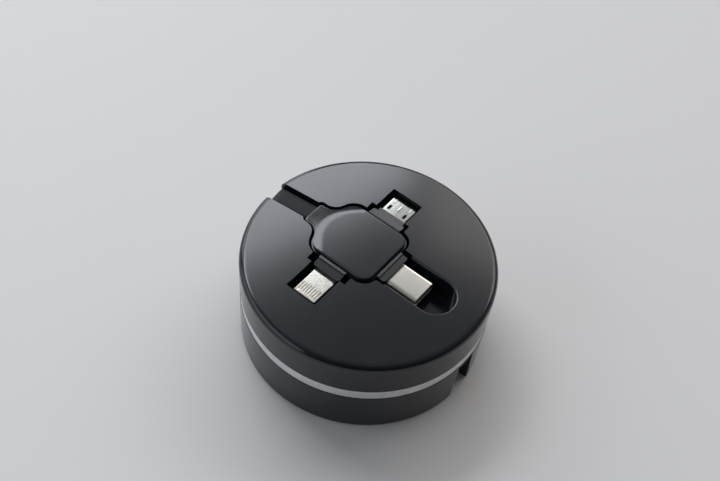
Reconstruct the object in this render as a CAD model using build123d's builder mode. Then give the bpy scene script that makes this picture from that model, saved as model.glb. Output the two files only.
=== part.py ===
from build123d import *

import os
from math import acos, cos, degrees, radians, sin, sqrt

# Case: a round box in two shells with a trim ring between them. Z is up, z = 0 is the underside.
CASE_RADIUS = 32.5
CASE_HEIGHT = 28.0
CASE_WALL = 2.1
PLATE = 1.8
TOP_EDGE_RADIUS = 1.7
BOTTOM_EDGE_RADIUS = 0.8
RING_DROP = 10.6
RING_WIDTH = 3.35
RING_THICKNESS = 0.9
RING_RECESS = 0.1
RING_EDGE = 0.12
SPIGOT_LAP = 1.0
LAP_CLEARANCE = 0.05

# Nest of the head in the top face
NEST_DEPTH = 6.4
NEST_WALL = 1.2
NEST_GAP = 0.7
BAY_LENGTH = 12.5
BAY_HALF = 6.05

# Head: a rounded-square hub with a neck for the cable, one plug on each of the other sides
HUB_X = -4.5
HUB_Y = 1.6
HUB_HALF = 9.4
HUB_CORNER = 3.4
HUB_SHOULDER = 8.9
SHOULDER_RADIUS = 4.0
NECK_ROOT = 11.2
NECK_ROOT_RADIUS = 4.4
NECK_HALF = 3.2
NECK_END = 15.5
NECK_END_RADIUS = 0.6
HUB_FLOAT = 0.3
HUB_CROWN = 0.4
HUB_WALL = 1.2
HUB_BOTTOM_RADIUS = 0.6
LID_EDGE = 0.8
LID_CROWN = 1.0
LID_INSET = 0.3
LID_RADIUS = 0.5
LID_LIP = 0.8
SLOPE_START = 6.0
SLOPE_END = 13.5
SLOPE_END_RISE = 0.2
BOARD_HALF = 6.6
BOARD_CORNER = 1.5
BOARD_THICKNESS = 0.8
BOARD_DROP = 2.8

# Plug collars on the hub's sides
COLLAR_RISE = 1.2
COLLAR_HEIGHT = 4.6
COLLAR_STEP = 0.35
COLLAR_LEDGE = 0.8
COLLAR_RADIUS = 0.7
TENON_INSET = 1.5
TENON_LIFT = 0.6
PLUG_CLEARANCE = 0.03
PLUG_IN_COLLAR = 2.2
NOSE_WALL = 0.5
TIP_RADIUS = 0.2

# Oval plug, out along +X, with a finger well beyond its tip
TYPE_C_ANGLE = 0
TYPE_C_SHIFT = -0.25
TYPE_C_COLLAR = 2.5
TYPE_C_NOSE = 0.0
TYPE_C_COLLAR_HALF = 4.9
TYPE_C_RAMP = 0.1
TYPE_C_WIDTH = 8.3
TYPE_C_HEIGHT = 2.5
TYPE_C_SHEET = 0.3
TYPE_C_TIP = 20.8
TYPE_C_DROP = 2.5
TYPE_C_MOUTH_WIDTH = 6.7
TYPE_C_MOUTH_HEIGHT = 0.8
TYPE_C_MOUTH_DEPTH = 5.6
TYPE_C_CONTACTS = 12
TYPE_C_PITCH = 0.5
WELL_HALF = 5.3
WELL_END = 28.9
WELL_EDGE_RADIUS = 0.5

# Eight-pin plug, out along -Y
EIGHT_PIN_ANGLE = -90
EIGHT_PIN_SHIFT = -0.8
EIGHT_PIN_COLLAR = 3.0
EIGHT_PIN_NOSE = 0.0
EIGHT_PIN_COLLAR_HALF = 4.1
EIGHT_PIN_RAMP = 0.35
EIGHT_PIN_WIDTH = 6.7
EIGHT_PIN_HEIGHT = 1.5
EIGHT_PIN_TIP = 20.6
EIGHT_PIN_DROP = 2.4
EIGHT_PIN_EDGE = 0.3
EIGHT_PIN_CORNER = 0.5
EIGHT_PIN_CONTACTS = 8
EIGHT_PIN_PITCH = 0.72
EIGHT_PIN_CONTACT_WIDTH = 0.42
EIGHT_PIN_CONTACT_LENGTH = 2.7
EIGHT_PIN_CONTACT_SETBACK = 0.75
EIGHT_PIN_POCKET_HALF = 4.5
EIGHT_PIN_POCKET_END = 21.95

# Small trapezoid plug, out along +Y
MICRO_B_ANGLE = 90
MICRO_B_SHIFT = -0.2
MICRO_B_COLLAR = 2.7
MICRO_B_NOSE = 1.5
MICRO_B_COLLAR_HALF = 5.05
MICRO_B_RAMP = 0.2
MICRO_B_WIDTH = 7.2
MICRO_B_HEIGHT = 1.9
MICRO_B_BEVEL = 0.8
MICRO_B_SHEET = 0.3
MICRO_B_TIP = 19.45
MICRO_B_DROP = 2.5
MICRO_B_SLOT_WIDTH = 0.7
MICRO_B_SLOT_LENGTH = 1.5
MICRO_B_SLOT_HALF_SPACING = 2.45
MICRO_B_CONTACTS = 5
MICRO_B_PITCH = 0.65
MICRO_B_TONGUE = 0.5
MICRO_B_MOUTH_DEPTH = 4.6
MICRO_B_RIDGE = 0.15
MICRO_B_RIDGE_WIDTH = 2.0
MICRO_B_RIDGE_LENGTH = 0.6
MICRO_B_SLOT_ROWS = (0.7, 3.2)
MICRO_B_POCKET_HALF = 4.65
MICRO_B_POCKET_END = 19.95

# Contact strips of the three small plugs
CONTACT_WIDTH = 0.26
CONTACT_THICKNESS = 0.12
CONTACT_LENGTH = 3.4
CONTACT_SETBACK = 0.8
INSERT_SETBACK = 0.4

# Flat cable, its slot in the top face and the lip it turns round at the rim
CABLE_WIDTH = 5.0
CABLE_THICKNESS = 1.4
CABLE_EDGE_RADIUS = 0.5
CABLE_CLEARANCE = 0.05
CABLE_RIM_INSET = 0.4
CABLE_IN_HUB = 8.7
CABLE_IN_PLUG = 7.0
CABLE_IN_CASE = 3.0
SLOT_WIDTH = 6.2
SLOT_DEPTH = 2.45
SLOT_YAW = 6.2
LIP_THICKNESS = 2.4

# Supply plug in the underside, its cable going out along +X and up the side groove
TYPE_A_RIM_GAP = 11.6
TYPE_A_NECK_LENGTH = 4.4
TYPE_A_BODY_LENGTH = 16.0
TYPE_A_BODY_HALF = 7.6
TYPE_A_BODY_HEIGHT = 6.8
TYPE_A_BODY_CORNER = 2.6
TYPE_A_BODY_EDGE = 0.9
TYPE_A_NECK_ROOT = 1.4
TYPE_A_FLOAT = 0.3
TYPE_A_LENGTH = 12.0
TYPE_A_IN_BODY = 8.0
TYPE_A_WIDTH = 12.0
TYPE_A_HEIGHT = 4.5
TYPE_A_SHEET = 0.35
TYPE_A_BEND = 0.6
TYPE_A_MOUTH_DEPTH = 9.6
TYPE_A_LATCH = 2.3
TYPE_A_LATCH_SPACING = 5.4
TYPE_A_LATCH_SETBACK = 5.2
TYPE_A_TONGUE = 1.9
TYPE_A_CONTACTS = 4
TYPE_A_PITCH = 2.3
TYPE_A_CONTACT_WIDTH = 1.1
TYPE_A_CONTACT_THICKNESS = 0.25
TYPE_A_CONTACT_LENGTH = 8.0
PLUG_ROOF_GAP = 0.3
PLUG_NEST_GAP = 0.6
PLUG_WELL_HALF = 5.2
PLUG_WELL_REACH = 9.0
LOWER_SLOT_DEPTH = 7.0
JOG_START = 1.0
JOG_RADIUS = 4.0
LOWER_RIM_INSET = 1.4
GROOVE_HEADROOM = 0.4
EXIT_DROP = 2.3
MOUTH_HALF = 3.65
MOUTH_HEIGHT = 5.1
MOUTH_SHOULDER = 2.0

# Reel on its axle post
RUNNING_GAP = 0.3
REEL_HEADROOM = 0.6
POST_RADIUS = 3.0
POST_BEARING_CLEARANCE = 0.05
POST_ABOVE_COVER = 0.2
PIN_RADIUS = 1.6
PIN_LENGTH = 4.0
FLANGE_RADIUS = 25.2
FLANGE_THICKNESS = 1.2
COVER_LIP = 0.6
CORE_RADIUS = 12.5
CORE_WALL = 1.2
COIL_TURNS = 8
COIL_PITCH = 1.42
COIL_CLEARANCE = 0.05
COIL_GROOVE = 0.35

# Ball ratchet on the reel's cover
BALL_RADIUS = 1.5
BALL_TRACK_RADIUS = 18.5
BALL_ANGLE = -45
BALL_PLAY = 1.0
BALL_CLEARANCE = 0.15
TRACK_WALL = 1.2
TRACK_HEIGHT = 1.2
CATCHES = 3
CATCH_DEPTH = 0.8
BALL_BOSS_RADIUS = 4.6

# Spiral return spring
SPRING_TURNS = 8
SPRING_THICKNESS = 0.3
SPRING_PITCH = 0.88
SPRING_START = 3.4
SPRING_SIDE_GAP = 0.9
SPRING_TAB = 1.1
SPRING_SLOT = 0.6

# Levels of the two nests, and of the reel in the room between them
NEST_FLOOR = CASE_HEIGHT - NEST_DEPTH
NEST_UNDERSIDE = NEST_FLOOR - NEST_WALL
PLUG_NEST_DEPTH = TYPE_A_FLOAT + TYPE_A_BODY_HEIGHT + PLUG_ROOF_GAP
PLUG_NEST_TOP = PLUG_NEST_DEPTH + NEST_WALL
REEL_BOTTOM = PLUG_NEST_TOP + RUNNING_GAP
CORE_BOTTOM = REEL_BOTTOM + FLANGE_THICKNESS
TRACK_TOP = NEST_UNDERSIDE - REEL_HEADROOM
COVER_TOP = TRACK_TOP - TRACK_HEIGHT
COVER_BOTTOM = COVER_TOP - FLANGE_THICKNESS
CORE_HEIGHT = COVER_BOTTOM - CORE_BOTTOM
COIL_LEVEL = CORE_BOTTOM + CORE_HEIGHT / 2
POST_TOP = COVER_TOP + POST_ABOVE_COVER
BALL_LEVEL = COVER_TOP + BALL_CLEARANCE + BALL_RADIUS
RING_TOP = CASE_HEIGHT - RING_DROP
RING_BOTTOM = RING_TOP - RING_WIDTH
SPIGOT_TOP = RING_TOP + SPIGOT_LAP

# Levels of the head and of the two stretches of cable
HUB_BOTTOM = NEST_FLOOR + HUB_FLOAT
HUB_TOP = CASE_HEIGHT + HUB_CROWN
LID_STEP = HUB_TOP - LID_CROWN
HUB_PARTING = LID_STEP - LID_EDGE
COLLAR_TOP = HUB_PARTING + COLLAR_RISE
COLLAR_BOTTOM = COLLAR_TOP - COLLAR_HEIGHT
TENON_BOTTOM = COLLAR_BOTTOM + TENON_LIFT
TENON_TOP = HUB_PARTING - LID_LIP - LAP_CLEARANCE
BOARD_LEVEL = COLLAR_TOP - BOARD_DROP
TYPE_C_LEVEL = COLLAR_TOP - TYPE_C_DROP
EIGHT_PIN_LEVEL = COLLAR_TOP - EIGHT_PIN_DROP
EIGHT_PIN_UNDERSIDE = EIGHT_PIN_LEVEL - EIGHT_PIN_HEIGHT / 2
EIGHT_PIN_ROWS = (EIGHT_PIN_UNDERSIDE, EIGHT_PIN_UNDERSIDE + EIGHT_PIN_HEIGHT - CONTACT_THICKNESS)
MICRO_B_LEVEL = COLLAR_TOP - MICRO_B_DROP
MICRO_B_ROOF = MICRO_B_LEVEL + MICRO_B_HEIGHT / 2
MICRO_B_TONGUE_TOP = MICRO_B_LEVEL - MICRO_B_HEIGHT / 2 + MICRO_B_SHEET + PLUG_CLEARANCE + MICRO_B_TONGUE
LIP_RADIUS = LIP_THICKNESS / 2
BEND_RADIUS = LIP_RADIUS + CABLE_CLEARANCE + CABLE_THICKNESS / 2
SLOT_FLOOR = CASE_HEIGHT - SLOT_DEPTH
CABLE_LEVEL = SLOT_FLOOR + CABLE_CLEARANCE + CABLE_THICKNESS / 2
CABLE_RETURN_LEVEL = CABLE_LEVEL - 2 * BEND_RADIUS
TYPE_A_LEVEL = TYPE_A_FLOAT + TYPE_A_BODY_HEIGHT / 2
TYPE_A_TONGUE_TOP = TYPE_A_LEVEL - TYPE_A_HEIGHT / 2 + TYPE_A_SHEET + PLUG_CLEARANCE + TYPE_A_TONGUE
LOWER_CABLE_LEVEL = LOWER_SLOT_DEPTH - CABLE_CLEARANCE - CABLE_THICKNESS / 2
GROOVE_TOP = RING_BOTTOM - GROOVE_HEADROOM
EXIT_LEVEL = GROOVE_TOP - EXIT_DROP
LIP_TOP = EXIT_LEVEL - CABLE_THICKNESS / 2 - CABLE_CLEARANCE

# Radii, reaches and places in plan
INNER_RADIUS = CASE_RADIUS - CASE_WALL
SPIGOT_RADIUS = CASE_RADIUS - RING_RECESS - RING_THICKNESS - LAP_CLEARANCE
BEARING_RADIUS = POST_RADIUS + POST_BEARING_CLEARANCE
COIL_INNER = CORE_RADIUS + COIL_CLEARANCE
TRACK_INNER = BALL_TRACK_RADIUS - BALL_RADIUS - BALL_PLAY
TRACK_OUTER = BALL_TRACK_RADIUS + BALL_RADIUS + BALL_PLAY
SPRING_END = SPRING_START + SPRING_TURNS * SPRING_PITCH
TAIL_X = HUB_X - NECK_END
TYPE_C_ROOT = HUB_HALF + TYPE_C_COLLAR + TYPE_C_NOSE - PLUG_IN_COLLAR
TYPE_C_INSERT_TIP = TYPE_C_TIP - INSERT_SETBACK
EIGHT_PIN_ROOT = HUB_HALF + EIGHT_PIN_COLLAR + EIGHT_PIN_NOSE - PLUG_IN_COLLAR
MICRO_B_ROOT = HUB_HALF + MICRO_B_COLLAR + MICRO_B_NOSE - PLUG_IN_COLLAR
TYPE_A_NECK_END = CASE_RADIUS - TYPE_A_RIM_GAP
TYPE_A_BODY_END = TYPE_A_NECK_END - TYPE_A_NECK_LENGTH
TYPE_A_BODY_START = TYPE_A_BODY_END - TYPE_A_BODY_LENGTH
TYPE_A_TIP = TYPE_A_BODY_START - TYPE_A_LENGTH
TYPE_A_ROOT = TYPE_A_BODY_START + TYPE_A_IN_BODY
PLUG_WELL_END = TYPE_A_TIP - PLUG_WELL_REACH
LOWER_BEND_X = CASE_RADIUS - LOWER_RIM_INSET - CABLE_THICKNESS / 2 - BEND_RADIUS

os.makedirs("parts", exist_ok=True)


def slot_reach():
    """Distance along the yawed slot from the neck's end to the rim of the case."""
    along = -TAIL_X * cos(radians(SLOT_YAW)) - HUB_Y * sin(radians(SLOT_YAW))
    across = TAIL_X**2 + HUB_Y**2 - CASE_RADIUS**2
    return sqrt(along**2 - across) - along


SLOT_REACH = slot_reach()
LIP_END = SLOT_REACH - CABLE_RIM_INSET - CABLE_THICKNESS / 2 - BEND_RADIUS


def arm_location(angle, shift):
    """Place of one arm of the head: x runs out from the hub's centre, y to its left."""
    return Location((HUB_X, HUB_Y, 0), (0, 0, angle)) * Location((0, shift, 0))


def arm_plane(angle, shift, level):
    """Level plane of one arm of the head."""
    return Plane(Location((0, 0, level)) * arm_location(angle, shift))


def arm_section(angle, shift, reach, level):
    """Upright plane across one arm: x to the arm's left, y up, facing out along the arm."""
    out = Vector(1, 0, 0).rotate(Axis.Z, angle)
    left = Vector(0, 1, 0).rotate(Axis.Z, angle)
    return Plane(Vector(HUB_X, HUB_Y, level) + out * reach + left * shift, x_dir=left, z_dir=out)


def arm_profile(angle, shift):
    """Upright plane along one arm: x out from the hub's centre, y is the level."""
    out = Vector(1, 0, 0).rotate(Axis.Z, angle)
    left = Vector(0, 1, 0).rotate(Axis.Z, angle)
    return Plane(Vector(HUB_X, HUB_Y, 0) + left * shift, x_dir=out, z_dir=-left)


def slot_plane():
    """Upright plane along the cable slot: x runs out from the neck's end, y is the level."""
    out = Vector(-1, 0, 0).rotate(Axis.Z, SLOT_YAW)
    side = Vector(0, 1, 0).rotate(Axis.Z, SLOT_YAW)
    return Plane(Vector(TAIL_X, HUB_Y, 0), x_dir=out, z_dir=side)


def disc(radius, level):
    """Disc about the case's axis."""
    with BuildSketch(Plane.XY.offset(level)) as face:
        Circle(radius)
    return face.sketch


def mirrored_outline(side, radii, grow, level):
    """Closed outline from one side's corners and their radii, mirrored in the X axis and then grown."""
    corners = side + [(x, -y) for x, y in reversed(side)]
    with BuildSketch(Plane.XY.offset(level)) as face:
        with BuildLine():
            FilletPolyline(*corners, radius=radii + radii[::-1], close=True)
        make_face()
        if grow:
            offset(amount=grow, kind=Kind.INTERSECTION)
    return face.sketch


def hub_face(grow, level):
    """Outline of the hub with its neck."""
    side = [(HUB_HALF, HUB_HALF), (-HUB_SHOULDER, HUB_HALF), (-NECK_ROOT, NECK_HALF), (-NECK_END, NECK_HALF)]
    radii = [HUB_CORNER, SHOULDER_RADIUS, NECK_ROOT_RADIUS, NECK_END_RADIUS]
    return mirrored_outline(side, radii, grow, level).moved(Location((HUB_X, HUB_Y, 0)))


def nest_face(grow, level):
    """Outline of the head's nest with its plug pockets and finger well."""
    pockets = [
        (EIGHT_PIN_ANGLE, EIGHT_PIN_SHIFT, EIGHT_PIN_POCKET_END, EIGHT_PIN_POCKET_HALF),
        (MICRO_B_ANGLE, MICRO_B_SHIFT, MICRO_B_POCKET_END, MICRO_B_POCKET_HALF),
        (TYPE_C_ANGLE, TYPE_C_SHIFT, WELL_END - WELL_HALF, WELL_HALF),
    ]
    with BuildSketch(Plane.XY.offset(level)) as face:
        add(hub_face(NEST_GAP + grow, 0))
        for angle, shift, end, half in pockets:
            with Locations(arm_location(angle, shift)):
                Rectangle(BAY_LENGTH + grow, 2 * (BAY_HALF + grow), align=(Align.MIN, Align.CENTER))
                Rectangle(end + grow, 2 * (half + grow), align=(Align.MIN, Align.CENTER))
        with Locations(arm_location(TYPE_C_ANGLE, TYPE_C_SHIFT) * Location((WELL_END - WELL_HALF, 0, 0))):
            Circle(WELL_HALF + grow)
    return face.sketch


def type_a_face(grow, level):
    """Outline of the supply plug's grip with its neck."""
    side = [
        (TYPE_A_BODY_START, TYPE_A_BODY_HALF),
        (TYPE_A_BODY_END, TYPE_A_BODY_HALF),
        (TYPE_A_BODY_END, NECK_HALF),
        (TYPE_A_NECK_END, NECK_HALF),
    ]
    radii = [NECK_END_RADIUS, TYPE_A_BODY_CORNER, TYPE_A_NECK_ROOT, NECK_END_RADIUS]
    return mirrored_outline(side, radii, grow, level)


def plug_nest_face(grow, level):
    """Outline of the supply plug's nest with the finger well beyond its tip."""
    with BuildSketch(Plane.XY.offset(level)) as face:
        add(type_a_face(PLUG_NEST_GAP + grow, 0))
        with Locations((TYPE_A_BODY_END - TYPE_A_BODY_CORNER, 0)):
            Rectangle(
                TYPE_A_BODY_END - TYPE_A_BODY_CORNER - TYPE_A_TIP + PLUG_NEST_GAP + grow,
                TYPE_A_WIDTH + 2 * (PLUG_NEST_GAP + grow),
                align=(Align.MAX, Align.CENTER),
            )
        with Locations((PLUG_WELL_END + PLUG_WELL_HALF, 0)):
            Circle(PLUG_WELL_HALF + grow)
            Rectangle(
                TYPE_A_BODY_START - PLUG_WELL_END - PLUG_WELL_HALF,
                2 * (PLUG_WELL_HALF + grow),
                align=(Align.MIN, Align.CENTER),
            )
    return face.sketch


# Upper shell: top cover with the nest, the cable slot, the ball's seat and the pin that steadies the post
with BuildPart() as upper_shell:
    extrude(disc(CASE_RADIUS, RING_TOP), amount=CASE_HEIGHT - RING_TOP)
    fillet(upper_shell.edges().group_by(Axis.Z)[-1], TOP_EDGE_RADIUS)
    extrude(disc(INNER_RADIUS, RING_TOP), amount=CASE_HEIGHT - PLATE - RING_TOP, mode=Mode.SUBTRACT)
    extrude(
        disc(SPIGOT_RADIUS + LAP_CLEARANCE, RING_TOP), amount=SPIGOT_LAP + LAP_CLEARANCE, mode=Mode.SUBTRACT
    )
    extrude(nest_face(NEST_WALL, NEST_UNDERSIDE), amount=CASE_HEIGHT - PLATE - NEST_UNDERSIDE)
    with BuildSketch(slot_plane()):
        with Locations((0, SLOT_FLOOR - LIP_THICKNESS)):
            Rectangle(LIP_END, CASE_HEIGHT - PLATE - SLOT_FLOOR + LIP_THICKNESS, align=(Align.MIN, Align.MIN))
        with Locations((LIP_END, SLOT_FLOOR - LIP_RADIUS)):
            Circle(LIP_RADIUS)
    extrude(amount=SLOT_WIDTH / 2 + NEST_WALL, both=True)
    extrude(nest_face(0, NEST_FLOOR), amount=NEST_DEPTH, mode=Mode.SUBTRACT)
    well_end = arm_location(TYPE_C_ANGLE, TYPE_C_SHIFT) * Location((WELL_END, 0, CASE_HEIGHT))
    fillet(upper_shell.edges().sort_by_distance(well_end.position)[:1], WELL_EDGE_RADIUS)
    with BuildSketch(slot_plane()):
        with Locations((-NECK_END_RADIUS, SLOT_FLOOR)):
            Rectangle(SLOT_REACH + CASE_WALL, SLOT_DEPTH, align=(Align.MIN, Align.MIN))
        with Locations((LIP_END, SPIGOT_TOP + LAP_CLEARANCE)):
            Rectangle(
                SLOT_REACH + CASE_WALL - LIP_END,
                CASE_HEIGHT - SPIGOT_TOP - LAP_CLEARANCE,
                align=(Align.MIN, Align.MIN),
            )
        with Locations((LIP_END, SLOT_FLOOR - LIP_RADIUS)):
            Circle(LIP_RADIUS, mode=Mode.SUBTRACT)
    extrude(amount=SLOT_WIDTH / 2, both=True, mode=Mode.SUBTRACT)
    extrude(disc(PIN_RADIUS, NEST_UNDERSIDE - PIN_LENGTH), amount=PIN_LENGTH)
    with BuildSketch(Plane(Location((0, 0, TRACK_TOP + RUNNING_GAP), (0, 0, BALL_ANGLE)))):
        with Locations((BALL_TRACK_RADIUS, 0)):
            Circle(BALL_BOSS_RADIUS)
    extrude(amount=CASE_HEIGHT - PLATE - TRACK_TOP - RUNNING_GAP)
    with BuildSketch(Plane(Location((0, 0, TRACK_TOP + RUNNING_GAP), (0, 0, BALL_ANGLE)))):
        with Locations((BALL_TRACK_RADIUS, 0)):
            SlotCenterToCenter(2 * BALL_PLAY, 2 * (BALL_RADIUS + BALL_CLEARANCE))
    extrude(
        amount=BALL_LEVEL + BALL_RADIUS + BALL_CLEARANCE - TRACK_TOP - RUNNING_GAP, mode=Mode.SUBTRACT
    )
    upper_shell.part.label = "upper_shell"
export_step(upper_shell.part, "parts/upper_shell.step")

# Trim ring: satin band seated between the two shells
with BuildPart() as trim_ring:
    with BuildSketch(Plane.XY.offset(RING_BOTTOM)):
        Circle(CASE_RADIUS - RING_RECESS)
        Circle(CASE_RADIUS - RING_RECESS - RING_THICKNESS, mode=Mode.SUBTRACT)
    extrude(amount=RING_WIDTH)
    chamfer(trim_ring.edges().filter_by(GeomType.CIRCLE).group_by(SortBy.RADIUS)[-1], RING_EDGE)
    trim_ring.part.label = "trim_ring"
export_step(trim_ring.part, "parts/trim_ring.step")

# Lower shell: bottom cover with the supply plug's nest, the side groove of its cable and the axle post
with BuildPart() as lower_shell:
    extrude(disc(CASE_RADIUS, 0), amount=RING_BOTTOM)
    fillet(lower_shell.edges().group_by(Axis.Z)[0], BOTTOM_EDGE_RADIUS)
    extrude(disc(SPIGOT_RADIUS, RING_BOTTOM), amount=SPIGOT_TOP - RING_BOTTOM)
    extrude(disc(INNER_RADIUS, PLATE), amount=SPIGOT_TOP - PLATE, mode=Mode.SUBTRACT)
    extrude(plug_nest_face(NEST_WALL, PLATE), amount=PLUG_NEST_TOP - PLATE)
    with BuildSketch(Plane.XZ):
        with Locations((TYPE_A_NECK_END, PLATE)):
            Rectangle(INNER_RADIUS - TYPE_A_NECK_END, PLUG_NEST_TOP - PLATE, align=(Align.MIN, Align.MIN))
        with Locations((INNER_RADIUS, PLATE)):
            Rectangle(
                INNER_RADIUS - LOWER_BEND_X + LIP_RADIUS, GROOVE_TOP - PLATE, align=(Align.MAX, Align.MIN)
            )
    extrude(amount=SLOT_WIDTH / 2 + NEST_WALL, both=True)
    extrude(plug_nest_face(0, 0), amount=PLUG_NEST_DEPTH, mode=Mode.SUBTRACT)
    with BuildSketch(Plane.XZ):
        with Locations((TYPE_A_NECK_END - NECK_END_RADIUS, 0)):
            Rectangle(
                CASE_RADIUS - TYPE_A_NECK_END + CASE_WALL, LOWER_SLOT_DEPTH, align=(Align.MIN, Align.MIN)
            )
        with Locations((LOWER_BEND_X, 0)):
            Rectangle(CASE_WALL + CASE_RADIUS - LOWER_BEND_X, GROOVE_TOP, align=(Align.MIN, Align.MIN))
        with Locations((LOWER_BEND_X - LIP_THICKNESS, LIP_TOP)):
            Rectangle(LIP_THICKNESS, GROOVE_TOP - LIP_TOP, align=(Align.MIN, Align.MIN))
        with Locations((LOWER_BEND_X, LOWER_SLOT_DEPTH)):
            Rectangle(
                LIP_RADIUS, LIP_TOP - LOWER_SLOT_DEPTH, align=(Align.MIN, Align.MIN), mode=Mode.SUBTRACT
            )
        with Locations((LOWER_BEND_X, LOWER_SLOT_DEPTH), (LOWER_BEND_X, LIP_TOP - LIP_RADIUS)):
            Rectangle(LIP_RADIUS, LIP_RADIUS, align=(Align.MIN, Align.MIN))
        with Locations((LOWER_BEND_X, LOWER_SLOT_DEPTH + LIP_RADIUS), (LOWER_BEND_X, LIP_TOP - LIP_RADIUS)):
            Circle(LIP_RADIUS, mode=Mode.SUBTRACT)
    extrude(amount=SLOT_WIDTH / 2, both=True, mode=Mode.SUBTRACT)
    with BuildSketch(Plane.YZ.offset(LOWER_BEND_X + LIP_RADIUS)):
        with BuildLine():
            Polyline(
                (MOUTH_HALF, 0),
                (MOUTH_HALF, MOUTH_HEIGHT),
                (SLOT_WIDTH / 2, MOUTH_HEIGHT + MOUTH_SHOULDER),
                (-SLOT_WIDTH / 2, MOUTH_HEIGHT + MOUTH_SHOULDER),
                (-MOUTH_HALF, MOUTH_HEIGHT),
                (-MOUTH_HALF, 0),
                close=True,
            )
        make_face()
    extrude(amount=CASE_RADIUS - LOWER_BEND_X, mode=Mode.SUBTRACT)
    extrude(disc(POST_RADIUS, PLUG_NEST_TOP), amount=POST_TOP - PLUG_NEST_TOP)
    extrude(
        disc(PIN_RADIUS + LAP_CLEARANCE, NEST_UNDERSIDE - PIN_LENGTH - RUNNING_GAP),
        amount=PIN_LENGTH,
        mode=Mode.SUBTRACT,
    )
    with BuildSketch(Plane.XY.offset(CORE_BOTTOM)):
        with Locations((0, SPRING_THICKNESS / 2)):
            Rectangle(POST_RADIUS, SPRING_SLOT, align=(Align.MIN, Align.CENTER))
    extrude(amount=CORE_HEIGHT, mode=Mode.SUBTRACT)
    lower_shell.part.label = "lower_shell"
export_step(lower_shell.part, "parts/lower_shell.step")

# Steel ball of the ratchet, loose between its seat and the track
with BuildPart() as latch_ball:
    with Locations(Location((0, 0, BALL_LEVEL), (0, 0, BALL_ANGLE)) * Location((BALL_TRACK_RADIUS, 0, 0))):
        Sphere(BALL_RADIUS)
    latch_ball.part.label = "latch_ball"
export_step(latch_ball.part, "parts/latch_ball.step")

# Reel drum: lower flange and the core that the cable is wound on and the spring lies in
with BuildPart() as reel_drum:
    extrude(disc(FLANGE_RADIUS, REEL_BOTTOM), amount=FLANGE_THICKNESS)
    extrude(disc(CORE_RADIUS, CORE_BOTTOM), amount=CORE_HEIGHT)
    extrude(disc(CORE_RADIUS - CORE_WALL, CORE_BOTTOM), amount=CORE_HEIGHT, mode=Mode.SUBTRACT)
    extrude(disc(BEARING_RADIUS, REEL_BOTTOM), amount=FLANGE_THICKNESS, mode=Mode.SUBTRACT)
    with BuildSketch(Plane.XY.offset(CORE_BOTTOM)):
        with Locations((CORE_RADIUS - CORE_WALL - SPRING_SLOT, -SPRING_THICKNESS / 2)):
            Rectangle(SPRING_TAB + SPRING_SLOT, SPRING_SLOT, align=(Align.MIN, Align.CENTER))
    extrude(amount=CORE_HEIGHT, mode=Mode.SUBTRACT)
    reel_drum.part.label = "reel_drum"
export_step(reel_drum.part, "parts/reel_drum.step")

# Reel cover: upper flange, located in the core, with the raised walls and catches of the ball's track
with BuildPart() as reel_cover:
    extrude(disc(FLANGE_RADIUS, COVER_BOTTOM), amount=FLANGE_THICKNESS)
    with BuildSketch(Plane.XY.offset(COVER_BOTTOM - COVER_LIP)):
        Circle(CORE_RADIUS - CORE_WALL - LAP_CLEARANCE)
        Circle(CORE_RADIUS - CORE_WALL - LAP_CLEARANCE - COVER_LIP, mode=Mode.SUBTRACT)
    extrude(amount=COVER_LIP)
    with BuildSketch(Plane.XY.offset(COVER_TOP)):
        Circle(TRACK_OUTER + TRACK_WALL)
        Circle(TRACK_OUTER, mode=Mode.SUBTRACT)
        Circle(TRACK_INNER)
        Circle(TRACK_INNER - 2 * TRACK_WALL, mode=Mode.SUBTRACT)
        with PolarLocations(TRACK_INNER, CATCHES):
            RegularPolygon(CATCH_DEPTH * 2, 3, mode=Mode.SUBTRACT)
    extrude(amount=TRACK_HEIGHT)
    extrude(disc(BEARING_RADIUS, COVER_BOTTOM), amount=FLANGE_THICKNESS, mode=Mode.SUBTRACT)
    reel_cover.part.label = "reel_cover"
export_step(reel_cover.part, "parts/reel_cover.step")

# Spiral return spring: half circles about two centres, with a tab in the post and one in the core
with BuildPart() as power_spring:
    with BuildSketch(Plane.XY.offset(CORE_BOTTOM + SPRING_SIDE_GAP)):
        with BuildLine():
            for start in (SPRING_START, SPRING_START + SPRING_THICKNESS):
                for half_turn in range(2 * SPRING_TURNS):
                    side = 1 if half_turn % 2 == 0 else -1
                    near = start + half_turn * SPRING_PITCH / 2
                    far = near + SPRING_PITCH / 2
                    ThreePointArc(
                        (side * near, 0), (side * (near - far) / 2, side * (near + far) / 2), (-side * far, 0)
                    )
            for end in (SPRING_START, SPRING_END):
                Line((end, 0), (end + SPRING_THICKNESS, 0))
        make_face()
        with Locations((SPRING_START + SPRING_THICKNESS, 0)):
            Rectangle(SPRING_TAB, SPRING_THICKNESS, align=(Align.MAX, Align.MIN))
        with Locations((SPRING_END, 0)):
            Rectangle(SPRING_TAB, SPRING_THICKNESS, align=(Align.MIN, Align.MAX))
    extrude(amount=CORE_HEIGHT - 2 * SPRING_SIDE_GAP)
    power_spring.part.label = "power_spring"
export_step(power_spring.part, "parts/power_spring.step")

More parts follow.
